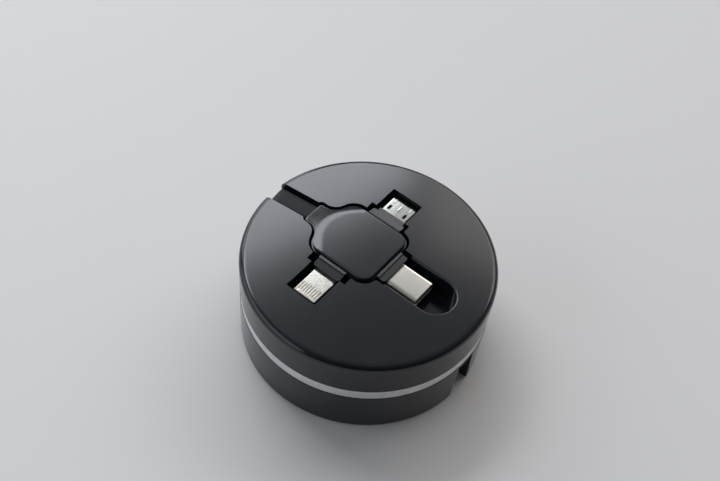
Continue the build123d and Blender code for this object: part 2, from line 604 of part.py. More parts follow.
# Wound cable: the turns on the drum as one ring, grooved between turns
with BuildPart() as wound_cable:
    with BuildSketch(Plane.XZ):
        with Locations((COIL_INNER, COIL_LEVEL)):
            Rectangle(COIL_TURNS * COIL_PITCH, CABLE_WIDTH, align=(Align.MIN, Align.CENTER))
        for turn in range(1, COIL_TURNS):
            with Locations(
                (COIL_INNER + turn * COIL_PITCH, COIL_LEVEL + CABLE_WIDTH / 2),
                (COIL_INNER + turn * COIL_PITCH, COIL_LEVEL - CABLE_WIDTH / 2),
            ):
                Rectangle(COIL_GROOVE, COIL_GROOVE, rotation=45, mode=Mode.SUBTRACT)
    revolve(axis=Axis.Z)
    wound_cable.part.label = "wound_cable"
export_step(wound_cable.part, "parts/wound_cable.step")



def cable_channel():
    """Side view of the channel that holds the cable in the hub's neck."""
    with BuildSketch(slot_plane()) as face:
        with Locations((-CABLE_IN_HUB, CABLE_LEVEL)):
            Rectangle(
                CABLE_IN_HUB + NECK_END_RADIUS,
                CABLE_THICKNESS + 2 * CABLE_CLEARANCE,
                align=(Align.MIN, Align.CENTER),
            )
    return face.sketch


# Hub bottom shell: open tub with a window for each collar's tenon and a channel for the cable
with BuildPart() as hub_bottom_shell:
    extrude(hub_face(0, HUB_BOTTOM), amount=HUB_PARTING - HUB_BOTTOM)
    fillet(hub_bottom_shell.edges().group_by(Axis.Z)[0], HUB_BOTTOM_RADIUS)
    extrude(hub_face(-HUB_WALL, HUB_BOTTOM + HUB_WALL), amount=HUB_PARTING - HUB_BOTTOM, mode=Mode.SUBTRACT)
    for angle, shift, half in (
        (TYPE_C_ANGLE, TYPE_C_SHIFT, TYPE_C_COLLAR_HALF),
        (EIGHT_PIN_ANGLE, EIGHT_PIN_SHIFT, EIGHT_PIN_COLLAR_HALF),
        (MICRO_B_ANGLE, MICRO_B_SHIFT, MICRO_B_COLLAR_HALF),
    ):
        with BuildSketch(arm_section(angle, shift, HUB_HALF - 2 * HUB_WALL, (TENON_BOTTOM + TENON_TOP) / 2)):
            Rectangle(
                2 * (half - TENON_INSET + PLUG_CLEARANCE), TENON_TOP - TENON_BOTTOM + 2 * PLUG_CLEARANCE
            )
        extrude(amount=2 * HUB_WALL, mode=Mode.SUBTRACT)
    extrude(cable_channel(), amount=CABLE_WIDTH / 2 + CABLE_CLEARANCE, both=True, mode=Mode.SUBTRACT)
    hub_bottom_shell.part.label = "hub_bottom_shell"
export_step(hub_bottom_shell.part, "parts/hub_bottom_shell.step")

# Hub top shell: stepped lid whose crown falls away to the neck, with a lip that locates it in the tub
with BuildPart() as hub_top_shell:
    extrude(hub_face(0, HUB_PARTING), amount=LID_EDGE)
    extrude(hub_face(-LID_INSET, LID_STEP), amount=LID_CROWN)
    fillet(hub_top_shell.edges().group_by(Axis.Z)[-1], LID_RADIUS)
    with BuildSketch(Plane.XZ.offset(-HUB_Y)):
        with BuildLine():
            slope = Spline(
                (HUB_X - SLOPE_START, HUB_TOP),
                (HUB_X - SLOPE_END, LID_STEP + SLOPE_END_RISE),
                tangents=[(-1, 0), (-1, 0)],
            )
            Polyline(
                slope @ 1,
                (HUB_X - NECK_END, LID_STEP + SLOPE_END_RISE),
                (HUB_X - NECK_END, HUB_TOP + LID_CROWN),
                (HUB_X - SLOPE_START, HUB_TOP + LID_CROWN),
                slope @ 0,
            )
        make_face()
    extrude(amount=HUB_HALF, both=True, mode=Mode.SUBTRACT)
    with BuildSketch(Plane.XY.offset(HUB_PARTING)):
        add(hub_face(-HUB_WALL - LAP_CLEARANCE, 0))
        add(hub_face(-2 * HUB_WALL, 0), mode=Mode.SUBTRACT)
        with Locations((HUB_X - HUB_HALF + HUB_CORNER, HUB_Y)):
            Rectangle(NECK_END, 2 * HUB_HALF, align=(Align.MAX, Align.CENTER), mode=Mode.SUBTRACT)
    extrude(amount=-LID_LIP)
    extrude(cable_channel(), amount=CABLE_WIDTH / 2 + CABLE_CLEARANCE, both=True, mode=Mode.SUBTRACT)
    hub_top_shell.part.label = "hub_top_shell"
export_step(hub_top_shell.part, "parts/hub_top_shell.step")

# Circuit board inside the hub, held between the tenons
with BuildPart() as circuit_board:
    with BuildSketch(Plane((HUB_X, HUB_Y, BOARD_LEVEL - BOARD_THICKNESS / 2))):
        RectangleRounded(2 * BOARD_HALF, 2 * BOARD_HALF, BOARD_CORNER)
    extrude(amount=BOARD_THICKNESS)
    circuit_board.part.label = "circuit_board"
export_step(circuit_board.part, "parts/circuit_board.step")


def type_c_section(trim, reach):
    """Oval section of the oval plug, smaller by an even trim, at a distance along its arm."""
    with BuildSketch(arm_section(TYPE_C_ANGLE, TYPE_C_SHIFT, reach, TYPE_C_LEVEL)) as face:
        SlotOverall(TYPE_C_WIDTH - 2 * trim, TYPE_C_HEIGHT - 2 * trim)
    return face.sketch


def eight_pin_section(trim, reach):
    """Section of the eight-pin plug."""
    with BuildSketch(arm_section(EIGHT_PIN_ANGLE, EIGHT_PIN_SHIFT, reach, EIGHT_PIN_LEVEL)) as face:
        RectangleRounded(EIGHT_PIN_WIDTH - 2 * trim, EIGHT_PIN_HEIGHT - 2 * trim, EIGHT_PIN_EDGE - trim)
    return face.sketch


def micro_b_section(trim, reach):
    """Section of the small plug: wide on top, with its two lower corners bevelled."""
    half, up = MICRO_B_WIDTH / 2, MICRO_B_HEIGHT / 2
    with BuildSketch(arm_section(MICRO_B_ANGLE, MICRO_B_SHIFT, reach, MICRO_B_LEVEL)) as face:
        with BuildLine():
            Polyline(
                (half, up),
                (half, MICRO_B_BEVEL - up),
                (half - MICRO_B_BEVEL, -up),
                (MICRO_B_BEVEL - half, -up),
                (-half, MICRO_B_BEVEL - up),
                (-half, up),
                close=True,
            )
        make_face()
        if trim:
            offset(amount=-trim, kind=Kind.INTERSECTION)
    return face.sketch


def collar(name, angle, shift, length, nose, half, ramp, section):
    """Collar of one plug: a stepped block on the hub, a nose round the plug and a tenon to the board."""
    tenon_middle = (TENON_BOTTOM + TENON_TOP) / 2
    out = Axis((HUB_X, HUB_Y, 0), arm_section(angle, 0, 0, 0).z_dir)
    with BuildPart() as block:
        with BuildSketch(arm_profile(angle, shift)):
            with BuildLine():
                Polyline(
                    (HUB_HALF, COLLAR_BOTTOM),
                    (HUB_HALF + length, COLLAR_BOTTOM),
                    (HUB_HALF + length, COLLAR_TOP - COLLAR_STEP - ramp),
                    (HUB_HALF + COLLAR_LEDGE, COLLAR_TOP - COLLAR_STEP),
                    (HUB_HALF + COLLAR_LEDGE, COLLAR_TOP),
                    (HUB_HALF, COLLAR_TOP),
                    close=True,
                )
            make_face()
        extrude(amount=half, both=True)
        fillet(block.edges().filter_by(Axis.Z).sort_by(out)[-2:], COLLAR_RADIUS)
        with BuildSketch(arm_section(angle, shift, BOARD_HALF + PLUG_CLEARANCE, tenon_middle)):
            Rectangle(2 * (half - TENON_INSET), TENON_TOP - TENON_BOTTOM)
        extrude(amount=HUB_HALF - BOARD_HALF - PLUG_CLEARANCE)
        front = HUB_HALF + length
        if nose:
            extrude(section(-NOSE_WALL, front), amount=nose)
        extrude(
            section(-PLUG_CLEARANCE, front + nose - PLUG_IN_COLLAR), amount=PLUG_IN_COLLAR, mode=Mode.SUBTRACT
        )
        block.part.label = name
    export_step(block.part, f"parts/{name}.step")


collar(
    "type_c_collar",
    TYPE_C_ANGLE,
    TYPE_C_SHIFT,
    TYPE_C_COLLAR,
    TYPE_C_NOSE,
    TYPE_C_COLLAR_HALF,
    TYPE_C_RAMP,
    type_c_section,
)
collar(
    "eight_pin_collar",
    EIGHT_PIN_ANGLE,
    EIGHT_PIN_SHIFT,
    EIGHT_PIN_COLLAR,
    EIGHT_PIN_NOSE,
    EIGHT_PIN_COLLAR_HALF,
    EIGHT_PIN_RAMP,
    eight_pin_section,
)
collar(
    "micro_b_collar",
    MICRO_B_ANGLE,
    MICRO_B_SHIFT,
    MICRO_B_COLLAR,
    MICRO_B_NOSE,
    MICRO_B_COLLAR_HALF,
    MICRO_B_RAMP,
    micro_b_section,
)

# Oval plug: drawn sheet shell, moulded insert with the mouth, and two rows of contacts in the mouth
with BuildPart() as type_c_shell:
    extrude(type_c_section(0, TYPE_C_ROOT), amount=TYPE_C_TIP - TYPE_C_ROOT)
    extrude(type_c_section(TYPE_C_SHEET, TYPE_C_ROOT), amount=TYPE_C_TIP - TYPE_C_ROOT, mode=Mode.SUBTRACT)
    tip_edges = type_c_shell.faces().sort_by(Axis.X)[-1].outer_wire().edges()
    fillet(tip_edges, TIP_RADIUS)
    type_c_shell.part.label = "type_c_shell"
export_step(type_c_shell.part, "parts/type_c_shell.step")

with BuildPart() as type_c_insert:
    trim = TYPE_C_SHEET + PLUG_CLEARANCE
    extrude(type_c_section(trim, TYPE_C_ROOT), amount=TYPE_C_INSERT_TIP - TYPE_C_ROOT)
    with BuildSketch(arm_section(TYPE_C_ANGLE, TYPE_C_SHIFT, TYPE_C_INSERT_TIP, TYPE_C_LEVEL)):
        Rectangle(TYPE_C_MOUTH_WIDTH, TYPE_C_MOUTH_HEIGHT)
    extrude(amount=-TYPE_C_MOUTH_DEPTH, mode=Mode.SUBTRACT)
    type_c_insert.part.label = "type_c_insert"
export_step(type_c_insert.part, "parts/type_c_insert.step")

with BuildPart() as type_c_contacts:
    row_rise = (TYPE_C_MOUTH_HEIGHT - CONTACT_THICKNESS) / 2
    with BuildSketch(
        arm_section(TYPE_C_ANGLE, TYPE_C_SHIFT, TYPE_C_INSERT_TIP - CONTACT_SETBACK, TYPE_C_LEVEL)
    ):
        with GridLocations(TYPE_C_PITCH, 2 * row_rise, TYPE_C_CONTACTS, 2):
            Rectangle(CONTACT_WIDTH, CONTACT_THICKNESS)
    extrude(amount=-CONTACT_LENGTH)
    type_c_contacts.part.label = "type_c_contacts"
export_step(type_c_contacts.part, "parts/type_c_contacts.step")


def eight_pin_contact_face(level):
    """Row of contacts near the tip of the eight-pin plug, on one level."""
    reach = EIGHT_PIN_TIP - EIGHT_PIN_CONTACT_SETBACK - EIGHT_PIN_CONTACT_LENGTH / 2
    with BuildSketch(arm_plane(EIGHT_PIN_ANGLE, EIGHT_PIN_SHIFT, level)) as face:
        with Locations((reach, 0)):
            with GridLocations(0, EIGHT_PIN_PITCH, 1, EIGHT_PIN_CONTACTS):
                Rectangle(EIGHT_PIN_CONTACT_LENGTH, EIGHT_PIN_CONTACT_WIDTH)
    return face.sketch


# Eight-pin plug: flat metal tongue, the same on both faces, with contacts let in flush
with BuildPart() as eight_pin_tongue:
    extrude(eight_pin_section(0, EIGHT_PIN_ROOT), amount=EIGHT_PIN_TIP - EIGHT_PIN_ROOT)
    with BuildSketch(arm_plane(EIGHT_PIN_ANGLE, EIGHT_PIN_SHIFT, 0)) as tip:
        with Locations((EIGHT_PIN_TIP, 0)):
            Rectangle(2 * EIGHT_PIN_TIP, EIGHT_PIN_WIDTH, align=(Align.MAX, Align.CENTER))
        fillet(tip.vertices(), EIGHT_PIN_CORNER)
    extrude(amount=CASE_HEIGHT, mode=Mode.INTERSECT)
    for row in EIGHT_PIN_ROWS:
        extrude(eight_pin_contact_face(row), amount=CONTACT_THICKNESS, mode=Mode.SUBTRACT)
    eight_pin_tongue.part.label = "eight_pin_tongue"
export_step(eight_pin_tongue.part, "parts/eight_pin_tongue.step")

with BuildPart() as eight_pin_contacts:
    for row in EIGHT_PIN_ROWS:
        extrude(eight_pin_contact_face(row), amount=CONTACT_THICKNESS)
    eight_pin_contacts.part.label = "eight_pin_contacts"
export_step(eight_pin_contacts.part, "parts/eight_pin_contacts.step")


def micro_b_slot_face(level, setbacks, trim):
    """Latch slots in the roof of the small plug, in rows set back from its tip."""
    with BuildSketch(arm_plane(MICRO_B_ANGLE, MICRO_B_SHIFT, level)) as face:
        for setback in setbacks:
            with Locations((MICRO_B_TIP - setback - MICRO_B_SLOT_LENGTH / 2, 0)):
                with GridLocations(0, 2 * MICRO_B_SLOT_HALF_SPACING, 1, 2):
                    Rectangle(MICRO_B_SLOT_LENGTH - 2 * trim, MICRO_B_SLOT_WIDTH - 2 * trim)
    return face.sketch


# Small plug: folded sheet shell with slots and a pressed ridge, insert with its tongue, contacts and latches
with BuildPart() as micro_b_shell:
    length = MICRO_B_TIP - MICRO_B_ROOT
    extrude(micro_b_section(0, MICRO_B_ROOT), amount=length)
    extrude(micro_b_section(MICRO_B_SHEET, MICRO_B_ROOT), amount=length, mode=Mode.SUBTRACT)
    extrude(micro_b_slot_face(MICRO_B_LEVEL, MICRO_B_SLOT_ROWS, 0), amount=MICRO_B_HEIGHT, mode=Mode.SUBTRACT)
    with BuildSketch(arm_plane(MICRO_B_ANGLE, MICRO_B_SHIFT, MICRO_B_ROOF)):
        with Locations((MICRO_B_TIP - sum(MICRO_B_SLOT_ROWS) / 2 - MICRO_B_SLOT_LENGTH / 2, 0)):
            RectangleRounded(MICRO_B_RIDGE_WIDTH, MICRO_B_RIDGE_LENGTH, MICRO_B_RIDGE)
    extrude(amount=MICRO_B_RIDGE)
    micro_b_shell.part.label = "micro_b_shell"
export_step(micro_b_shell.part, "parts/micro_b_shell.step")

with BuildPart() as micro_b_insert:
    trim = MICRO_B_SHEET + PLUG_CLEARANCE
    extrude(micro_b_section(trim, MICRO_B_ROOT), amount=MICRO_B_TIP - INSERT_SETBACK - MICRO_B_ROOT)
    with BuildSketch(arm_plane(MICRO_B_ANGLE, MICRO_B_SHIFT, MICRO_B_TONGUE_TOP)):
        with Locations((MICRO_B_TIP, 0)):
            Rectangle(MICRO_B_MOUTH_DEPTH, MICRO_B_WIDTH, align=(Align.MAX, Align.CENTER))
    extrude(amount=MICRO_B_HEIGHT, mode=Mode.SUBTRACT)
    micro_b_insert.part.label = "micro_b_insert"
export_step(micro_b_insert.part, "parts/micro_b_insert.step")

with BuildPart() as micro_b_contacts:
    with BuildSketch(arm_plane(MICRO_B_ANGLE, MICRO_B_SHIFT, MICRO_B_TONGUE_TOP)):
        with Locations((MICRO_B_TIP - CONTACT_SETBACK - CONTACT_LENGTH / 2, 0)):
            with GridLocations(0, MICRO_B_PITCH, 1, MICRO_B_CONTACTS):
                Rectangle(CONTACT_LENGTH, CONTACT_WIDTH)
    extrude(amount=CONTACT_THICKNESS)
    micro_b_contacts.part.label = "micro_b_contacts"
export_step(micro_b_contacts.part, "parts/micro_b_contacts.step")

with BuildPart() as micro_b_latches:
    extrude(
        micro_b_slot_face(MICRO_B_TONGUE_TOP, MICRO_B_SLOT_ROWS[:1], LAP_CLEARANCE),
        amount=MICRO_B_ROOF + MICRO_B_RIDGE - MICRO_B_TONGUE_TOP,
    )
    micro_b_latches.part.label = "micro_b_latches"
export_step(micro_b_latches.part, "parts/micro_b_latches.step")

# Head's flat cable: out through the neck, along the slot, round the lip at the rim and back into the case
with BuildPart() as upper_cable:
    with BuildSketch(slot_plane()):
        with BuildLine():
            Line((-CABLE_IN_HUB, CABLE_LEVEL), (LIP_END, CABLE_LEVEL))
            ThreePointArc(
                (LIP_END, CABLE_LEVEL),
                (LIP_END + BEND_RADIUS, CABLE_LEVEL - BEND_RADIUS),
                (LIP_END, CABLE_RETURN_LEVEL),
            )
            Line((LIP_END, CABLE_RETURN_LEVEL), (LIP_END - CABLE_IN_CASE, CABLE_RETURN_LEVEL))
        trace(line_width=CABLE_THICKNESS)
    extrude(amount=CABLE_WIDTH / 2, both=True)
    sides = upper_cable.edges().group_by(Axis((0, 0, 0), slot_plane().z_dir))
    fillet(sides[0] + sides[-1], CABLE_EDGE_RADIUS)
    upper_cable.part.label = "upper_cable"
export_step(upper_cable.part, "parts/upper_cable.step")

# Supply plug: moulded grip, folded sheet shell with its four latch windows, tongue and contacts
with BuildPart() as type_a_overmould:
    extrude(type_a_face(0, TYPE_A_FLOAT), amount=TYPE_A_BODY_HEIGHT)
    fillet(type_a_overmould.faces().filter_by(Axis.Z).edges(), TYPE_A_BODY_EDGE)
    with BuildSketch(Plane.YZ.offset(TYPE_A_BODY_START)):
        with Locations((0, TYPE_A_LEVEL)):
            Rectangle(TYPE_A_WIDTH + 2 * PLUG_CLEARANCE, TYPE_A_HEIGHT + 2 * PLUG_CLEARANCE)
    extrude(amount=TYPE_A_IN_BODY, mode=Mode.SUBTRACT)
    with BuildSketch(Plane.XZ):
        with Locations((TYPE_A_NECK_END, TYPE_A_LEVEL)):
            Rectangle(
                CABLE_IN_PLUG + CABLE_CLEARANCE,
                CABLE_THICKNESS + 2 * CABLE_CLEARANCE,
                align=(Align.MAX, Align.CENTER),
            )
    extrude(amount=CABLE_WIDTH / 2 + CABLE_CLEARANCE, both=True, mode=Mode.SUBTRACT)
    type_a_overmould.part.label = "type_a_overmould"
export_step(type_a_overmould.part, "parts/type_a_overmould.step")


def type_a_section(trim, x):
    """Section of the supply plug's shell."""
    with BuildSketch(Plane.YZ.offset(x)) as face:
        with Locations((0, TYPE_A_LEVEL)):
            RectangleRounded(TYPE_A_WIDTH - 2 * trim, TYPE_A_HEIGHT - 2 * trim, TYPE_A_BEND - trim)
    return face.sketch


with BuildPart() as type_a_shell:
    extrude(type_a_section(0, TYPE_A_TIP), amount=TYPE_A_ROOT - TYPE_A_TIP)
    extrude(type_a_section(TYPE_A_SHEET, TYPE_A_TIP), amount=TYPE_A_ROOT - TYPE_A_TIP, mode=Mode.SUBTRACT)
    with BuildSketch(Plane.XY):
        with Locations((TYPE_A_TIP + TYPE_A_LATCH_SETBACK, 0)):
            with GridLocations(0, TYPE_A_LATCH_SPACING, 1, 2):
                Rectangle(TYPE_A_LATCH, TYPE_A_LATCH)
    extrude(amount=TYPE_A_BODY_HEIGHT, mode=Mode.SUBTRACT)
    type_a_shell.part.label = "type_a_shell"
export_step(type_a_shell.part, "parts/type_a_shell.step")

with BuildPart() as type_a_insulator:
    front = TYPE_A_TIP + INSERT_SETBACK
    extrude(type_a_section(TYPE_A_SHEET + PLUG_CLEARANCE, front), amount=TYPE_A_ROOT - front)
    with BuildSketch(Plane.XY.offset(TYPE_A_TONGUE_TOP)):
        with Locations((TYPE_A_TIP, 0)):
            Rectangle(TYPE_A_MOUTH_DEPTH, TYPE_A_WIDTH, align=(Align.MIN, Align.CENTER))
    extrude(amount=TYPE_A_HEIGHT, mode=Mode.SUBTRACT)
    type_a_insulator.part.label = "type_a_insulator"
export_step(type_a_insulator.part, "parts/type_a_insulator.step")

with BuildPart() as type_a_contacts:
    with BuildSketch(Plane.XY.offset(TYPE_A_TONGUE_TOP)):
        with Locations((TYPE_A_TIP + CONTACT_SETBACK + TYPE_A_CONTACT_LENGTH / 2, 0)):
            with GridLocations(0, TYPE_A_PITCH, 1, TYPE_A_CONTACTS):
                Rectangle(TYPE_A_CONTACT_LENGTH, TYPE_A_CONTACT_WIDTH)
    extrude(amount=TYPE_A_CONTACT_THICKNESS)
    type_a_contacts.part.label = "type_a_contacts"
export_step(type_a_contacts.part, "parts/type_a_contacts.step")

# Supply end of the cable: out of the grip, a jog up to the slot's roof, up the side groove and into the case
with BuildPart() as lower_cable:
    jog = degrees(acos(1 - (LOWER_CABLE_LEVEL - TYPE_A_LEVEL) / (2 * JOG_RADIUS)))
    with BuildSketch(Plane.XZ):
        with BuildLine():
            start = Vector(TYPE_A_NECK_END - CABLE_IN_PLUG, TYPE_A_LEVEL)
            foot = Line(start, start + Vector(CABLE_IN_PLUG + JOG_START, 0))
            rise = JernArc(foot @ 1, foot % 1, JOG_RADIUS, jog)
            settle = JernArc(rise @ 1, rise % 1, JOG_RADIUS, -jog)
            roof = Line(settle @ 1, (LOWER_BEND_X, LOWER_CABLE_LEVEL))
            low = JernArc(roof @ 1, roof % 1, BEND_RADIUS, 90)
            up = Line(low @ 1, low @ 1 + Vector(0, EXIT_LEVEL - LOWER_CABLE_LEVEL - 2 * BEND_RADIUS))
            high = JernArc(up @ 1, up % 1, BEND_RADIUS, 90)
            Line(high @ 1, high @ 1 - Vector(CABLE_IN_CASE, 0))
        trace(line_width=CABLE_THICKNESS)
    extrude(amount=CABLE_WIDTH / 2, both=True)
    sides = lower_cable.edges().group_by(Axis.Y)
    fillet(sides[0] + sides[-1], CABLE_EDGE_RADIUS)
    lower_cable.part.label = "lower_cable"
export_step(lower_cable.part, "parts/lower_cable.step")
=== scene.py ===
"""Looks of a pocket cable reel with a three-plug head: finishes, soft edges, cables, contacts and studio."""

import logging
import math
from dataclasses import dataclass
from enum import Enum
from typing import Dict, List, Optional, Sequence, Tuple, Union

import bmesh
import bpy
from mathutils import Matrix, Vector


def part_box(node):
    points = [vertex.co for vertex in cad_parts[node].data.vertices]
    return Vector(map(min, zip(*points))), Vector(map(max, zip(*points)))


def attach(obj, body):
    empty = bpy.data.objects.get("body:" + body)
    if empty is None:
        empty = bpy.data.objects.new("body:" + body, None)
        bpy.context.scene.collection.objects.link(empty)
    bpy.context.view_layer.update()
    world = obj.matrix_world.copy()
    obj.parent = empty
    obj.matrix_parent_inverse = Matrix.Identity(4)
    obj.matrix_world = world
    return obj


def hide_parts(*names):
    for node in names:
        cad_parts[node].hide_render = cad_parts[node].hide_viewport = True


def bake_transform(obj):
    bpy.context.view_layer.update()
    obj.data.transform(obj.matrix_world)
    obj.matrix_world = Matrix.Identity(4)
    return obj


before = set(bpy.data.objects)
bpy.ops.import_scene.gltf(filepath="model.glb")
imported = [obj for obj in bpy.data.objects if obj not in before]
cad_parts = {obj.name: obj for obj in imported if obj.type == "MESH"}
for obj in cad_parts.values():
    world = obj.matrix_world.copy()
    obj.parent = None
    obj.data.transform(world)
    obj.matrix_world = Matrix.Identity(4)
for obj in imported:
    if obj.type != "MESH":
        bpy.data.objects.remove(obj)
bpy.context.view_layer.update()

MM = 0.001
SEAM = 0.002 * MM
WELD = 0.001 * MM
CUT_REACH = 1e-7
CORNER_STEPS = 3
SPIRAL_STEPS = 64
ROUND_PROFILE = 0.5
SWEPT_CREASE = 40.0
STRIP_CREASE = 30.0
FLAT_WEIGHT = 80
LEAST_CORNERS = 5
LOG = logging.getLogger("reel")

Colour = Tuple[float, float, float]
Point2 = Tuple[float, float]
Point3 = Tuple[float, float, float]
Value = Union[int, float, Point3, bpy.types.Material]

DAYLIGHT: Colour = (0.94, 0.98, 1.04)
WARM_WALL: Colour = (1.0, 0.96, 0.92)
COOL_WALL: Colour = (0.86, 0.93, 1.02)


class Body(Enum):
    """Moving bodies of the part."""

    CASE = "case"
    REEL = "reel"
    HEAD = "head"
    PLUG = "plug"


class Streak(Enum):
    """Direction of the fine lines in a metal finish, as the scale of each axis."""

    ROUND = (40.0, 40.0, 9000.0)
    ALONG_Y = (5200.0, 120.0, 5200.0)
    NONE = (2600.0, 2600.0, 2600.0)


def rgba(colour: Colour) -> Tuple[float, float, float, float]:
    """Colour with full alpha."""
    return (*colour, 1.0)


class Sheet:
    """Node sheet of one material."""

    def __init__(self, name: str) -> None:
        """Make the material with a surface shader linked to its output.

        Args:
            name: Name of the material.
        """
        self.material = bpy.data.materials.new(name)
        self.material.use_nodes = True
        self.tree = self.material.node_tree
        self.tree.nodes.clear()
        self.output = self.add("ShaderNodeOutputMaterial")
        self.shader = self.add("ShaderNodeBsdfPrincipled")
        self.link(self.shader.outputs[0], self.output.inputs["Surface"])
        self.place = self.add("ShaderNodeTexCoord").outputs["Object"]

    def add(self, kind: str, **settings: object) -> bpy.types.Node:
        """Add a node and set its properties.

        Args:
            kind: Node type.
            settings: Properties of the node.

        Returns:
            The new node.
        """
        node = self.tree.nodes.new(kind)
        for key, value in settings.items():
            setattr(node, key, value)
        return node

    def link(self, source: bpy.types.NodeSocket, target: bpy.types.NodeSocket) -> None:
        """Link two sockets."""
        self.tree.links.new(source, target)

    def noise(
        self, scale: float, detail: float = 2.0, stretch: Optional[Sequence[float]] = None, rough: float = 0.5
    ) -> bpy.types.NodeSocket:
        """Noise over the piece's own coordinates.

        Args:
            scale: Cells to the metre.
            detail: Octaves of finer noise.
            stretch: Scale of each axis before the noise is read.
            rough: Weight of the finer octaves.

        Returns:
            The noise's value socket.
        """
        node = self.add("ShaderNodeTexNoise")
        node.inputs["Scale"].default_value = scale
        node.inputs["Detail"].default_value = detail
        node.inputs["Roughness"].default_value = rough
        source = self.place
        if stretch is not None:
            mapping = self.add("ShaderNodeMapping")
            mapping.inputs["Scale"].default_value = stretch
            self.link(source, mapping.inputs["Vector"])
            source = mapping.outputs["Vector"]
        self.link(source, node.inputs["Vector"])
        return node.outputs[0]

    def span(
        self, value: bpy.types.NodeSocket, low: float, high: float, start: float = 0.3, end: float = 0.7
    ) -> bpy.types.NodeSocket:
        """Spread a value over a range.

        Args:
            value: Value socket to read.
            low: Result at the start of the value's range.
            high: Result at its end.
            start: Start of the value's range.
            end: End of the value's range.

        Returns:
            The spread value's socket.
        """
        node = self.add("ShaderNodeMapRange")
        for key, number in (("From Min", start), ("From Max", end), ("To Min", low), ("To Max", high)):
            node.inputs[key].default_value = number
        self.link(value, node.inputs["Value"])
        return node.outputs[0]

    def between(
        self, value: bpy.types.NodeSocket, first: Colour, second: Colour, start: float = 0.3, end: float = 0.7
    ) -> bpy.types.NodeSocket:
        """Colour that goes from one shade to another with a value.

        Args:
            value: Value socket to read.
            first: Colour at the start of the range.
            second: Colour at its end.
            start: Start of the value's range.
            end: End of the value's range.

        Returns:
            The colour socket.
        """
        ramp = self.add("ShaderNodeValToRGB")
        low, high = ramp.color_ramp.elements
        low.position, high.position = start, end
        low.color, high.color = rgba(first), rgba(second)
        self.link(value, ramp.inputs["Fac"])
        return ramp.outputs["Color"]

    def bump(self, height: bpy.types.NodeSocket, depth: float, strength: float = 1.0) -> None:
        """Relief of the surface from a height.

        Args:
            height: Height socket, from 0 to 1.
            depth: Depth of the relief in metres.
            strength: Share of the relief that shows.
        """
        node = self.add("ShaderNodeBump")
        node.inputs["Distance"].default_value = depth
        node.inputs["Strength"].default_value = strength
        self.link(height, node.inputs["Height"])
        self.link(node.outputs[0], self.shader.inputs["Normal"])

    def set(self, **values: float) -> None:
        """Set constants on the shader's own sockets, with _ for a space in a socket's name."""
        for key, value in values.items():
            self.shader.inputs[key.replace("_", " ")].default_value = value


@dataclass(frozen=True)
class MouldedPlastic:
    """Moulded plastic with a fine spark-eroded grain."""

    name: str
    colour: Colour
    roughness: float = 0.4
    grain: float = 0.22
    depth: float = 0.012
    mottle: float = 0.12
    specular: float = 0.5
    spread: float = 0.05
    mottle_cells: float = 160.0

    def material(self) -> bpy.types.Material:
        """Build the finish.

        Returns:
            The material.
        """
        sheet = Sheet(self.name)
        broad = sheet.noise(self.mottle_cells, 4.0)
        fine = sheet.noise(1.0 / (self.grain * MM), 3.0, rough=0.6)
        low, high = (tuple(c * (1 + s * self.mottle) for c in self.colour) for s in (-1, 1))
        sheet.link(sheet.between(broad, low, high), sheet.shader.inputs["Base Color"])
        sheen = sheet.span(fine, self.roughness - self.spread, self.roughness + self.spread)
        sheet.link(sheen, sheet.shader.inputs["Roughness"])
        sheet.set(Specular_IOR_Level=self.specular)
        sheet.bump(fine, self.depth * MM)
        return sheet.material


@dataclass(frozen=True)
class FinishedMetal:
    """Metal with fine lines from rolling, drawing or turning."""

    name: str
    colour: Colour
    roughness: float
    streak: Streak = Streak.NONE
    depth: float = 0.002
    tarnish: float = 0.08
    spread: float = 0.2
    patch_cells: float = 420.0

    def material(self) -> bpy.types.Material:
        """Build the finish.

        Returns:
            The material.
        """
        sheet = Sheet(self.name)
        lines = sheet.noise(1.0, 3.0, stretch=self.streak.value)
        patches = sheet.noise(self.patch_cells, 3.0)
        dull = tuple(c * (1 - self.tarnish) for c in self.colour)
        sheet.link(sheet.between(patches, dull, self.colour), sheet.shader.inputs["Base Color"])
        low, high = self.roughness * (1 - self.spread), self.roughness * (1 + self.spread)
        sheet.link(sheet.span(lines, low, high), sheet.shader.inputs["Roughness"])
        sheet.set(Metallic=1.0)
        sheet.bump(lines, self.depth * MM)
        return sheet.material


@dataclass(frozen=True)
class Laminate:
    """Board laminate under a coat of solder mask, with the weave faintly raised."""

    name: str
    colour: Colour
    roughness: Tuple[float, float] = (0.28, 0.4)
    shadow: float = 0.75
    patch_cells: float = 700.0
    weave_cells: float = 2000.0
    depth: float = 0.01
    relief: float = 0.4

    def material(self) -> bpy.types.Material:
        """Build the finish.

        Returns:
            The material.
        """
        sheet = Sheet(self.name)
        weave = sheet.add("ShaderNodeTexChecker")
        weave.inputs["Scale"].default_value = self.weave_cells
        sheet.link(sheet.place, weave.inputs["Vector"])
        patches = sheet.noise(self.patch_cells, 3.0)
        dark = tuple(c * self.shadow for c in self.colour)
        sheet.link(sheet.between(patches, dark, self.colour), sheet.shader.inputs["Base Color"])
        sheet.link(sheet.span(patches, *self.roughness), sheet.shader.inputs["Roughness"])
        sheet.bump(weave.outputs["Fac"], self.depth * MM, self.relief)
        return sheet.material


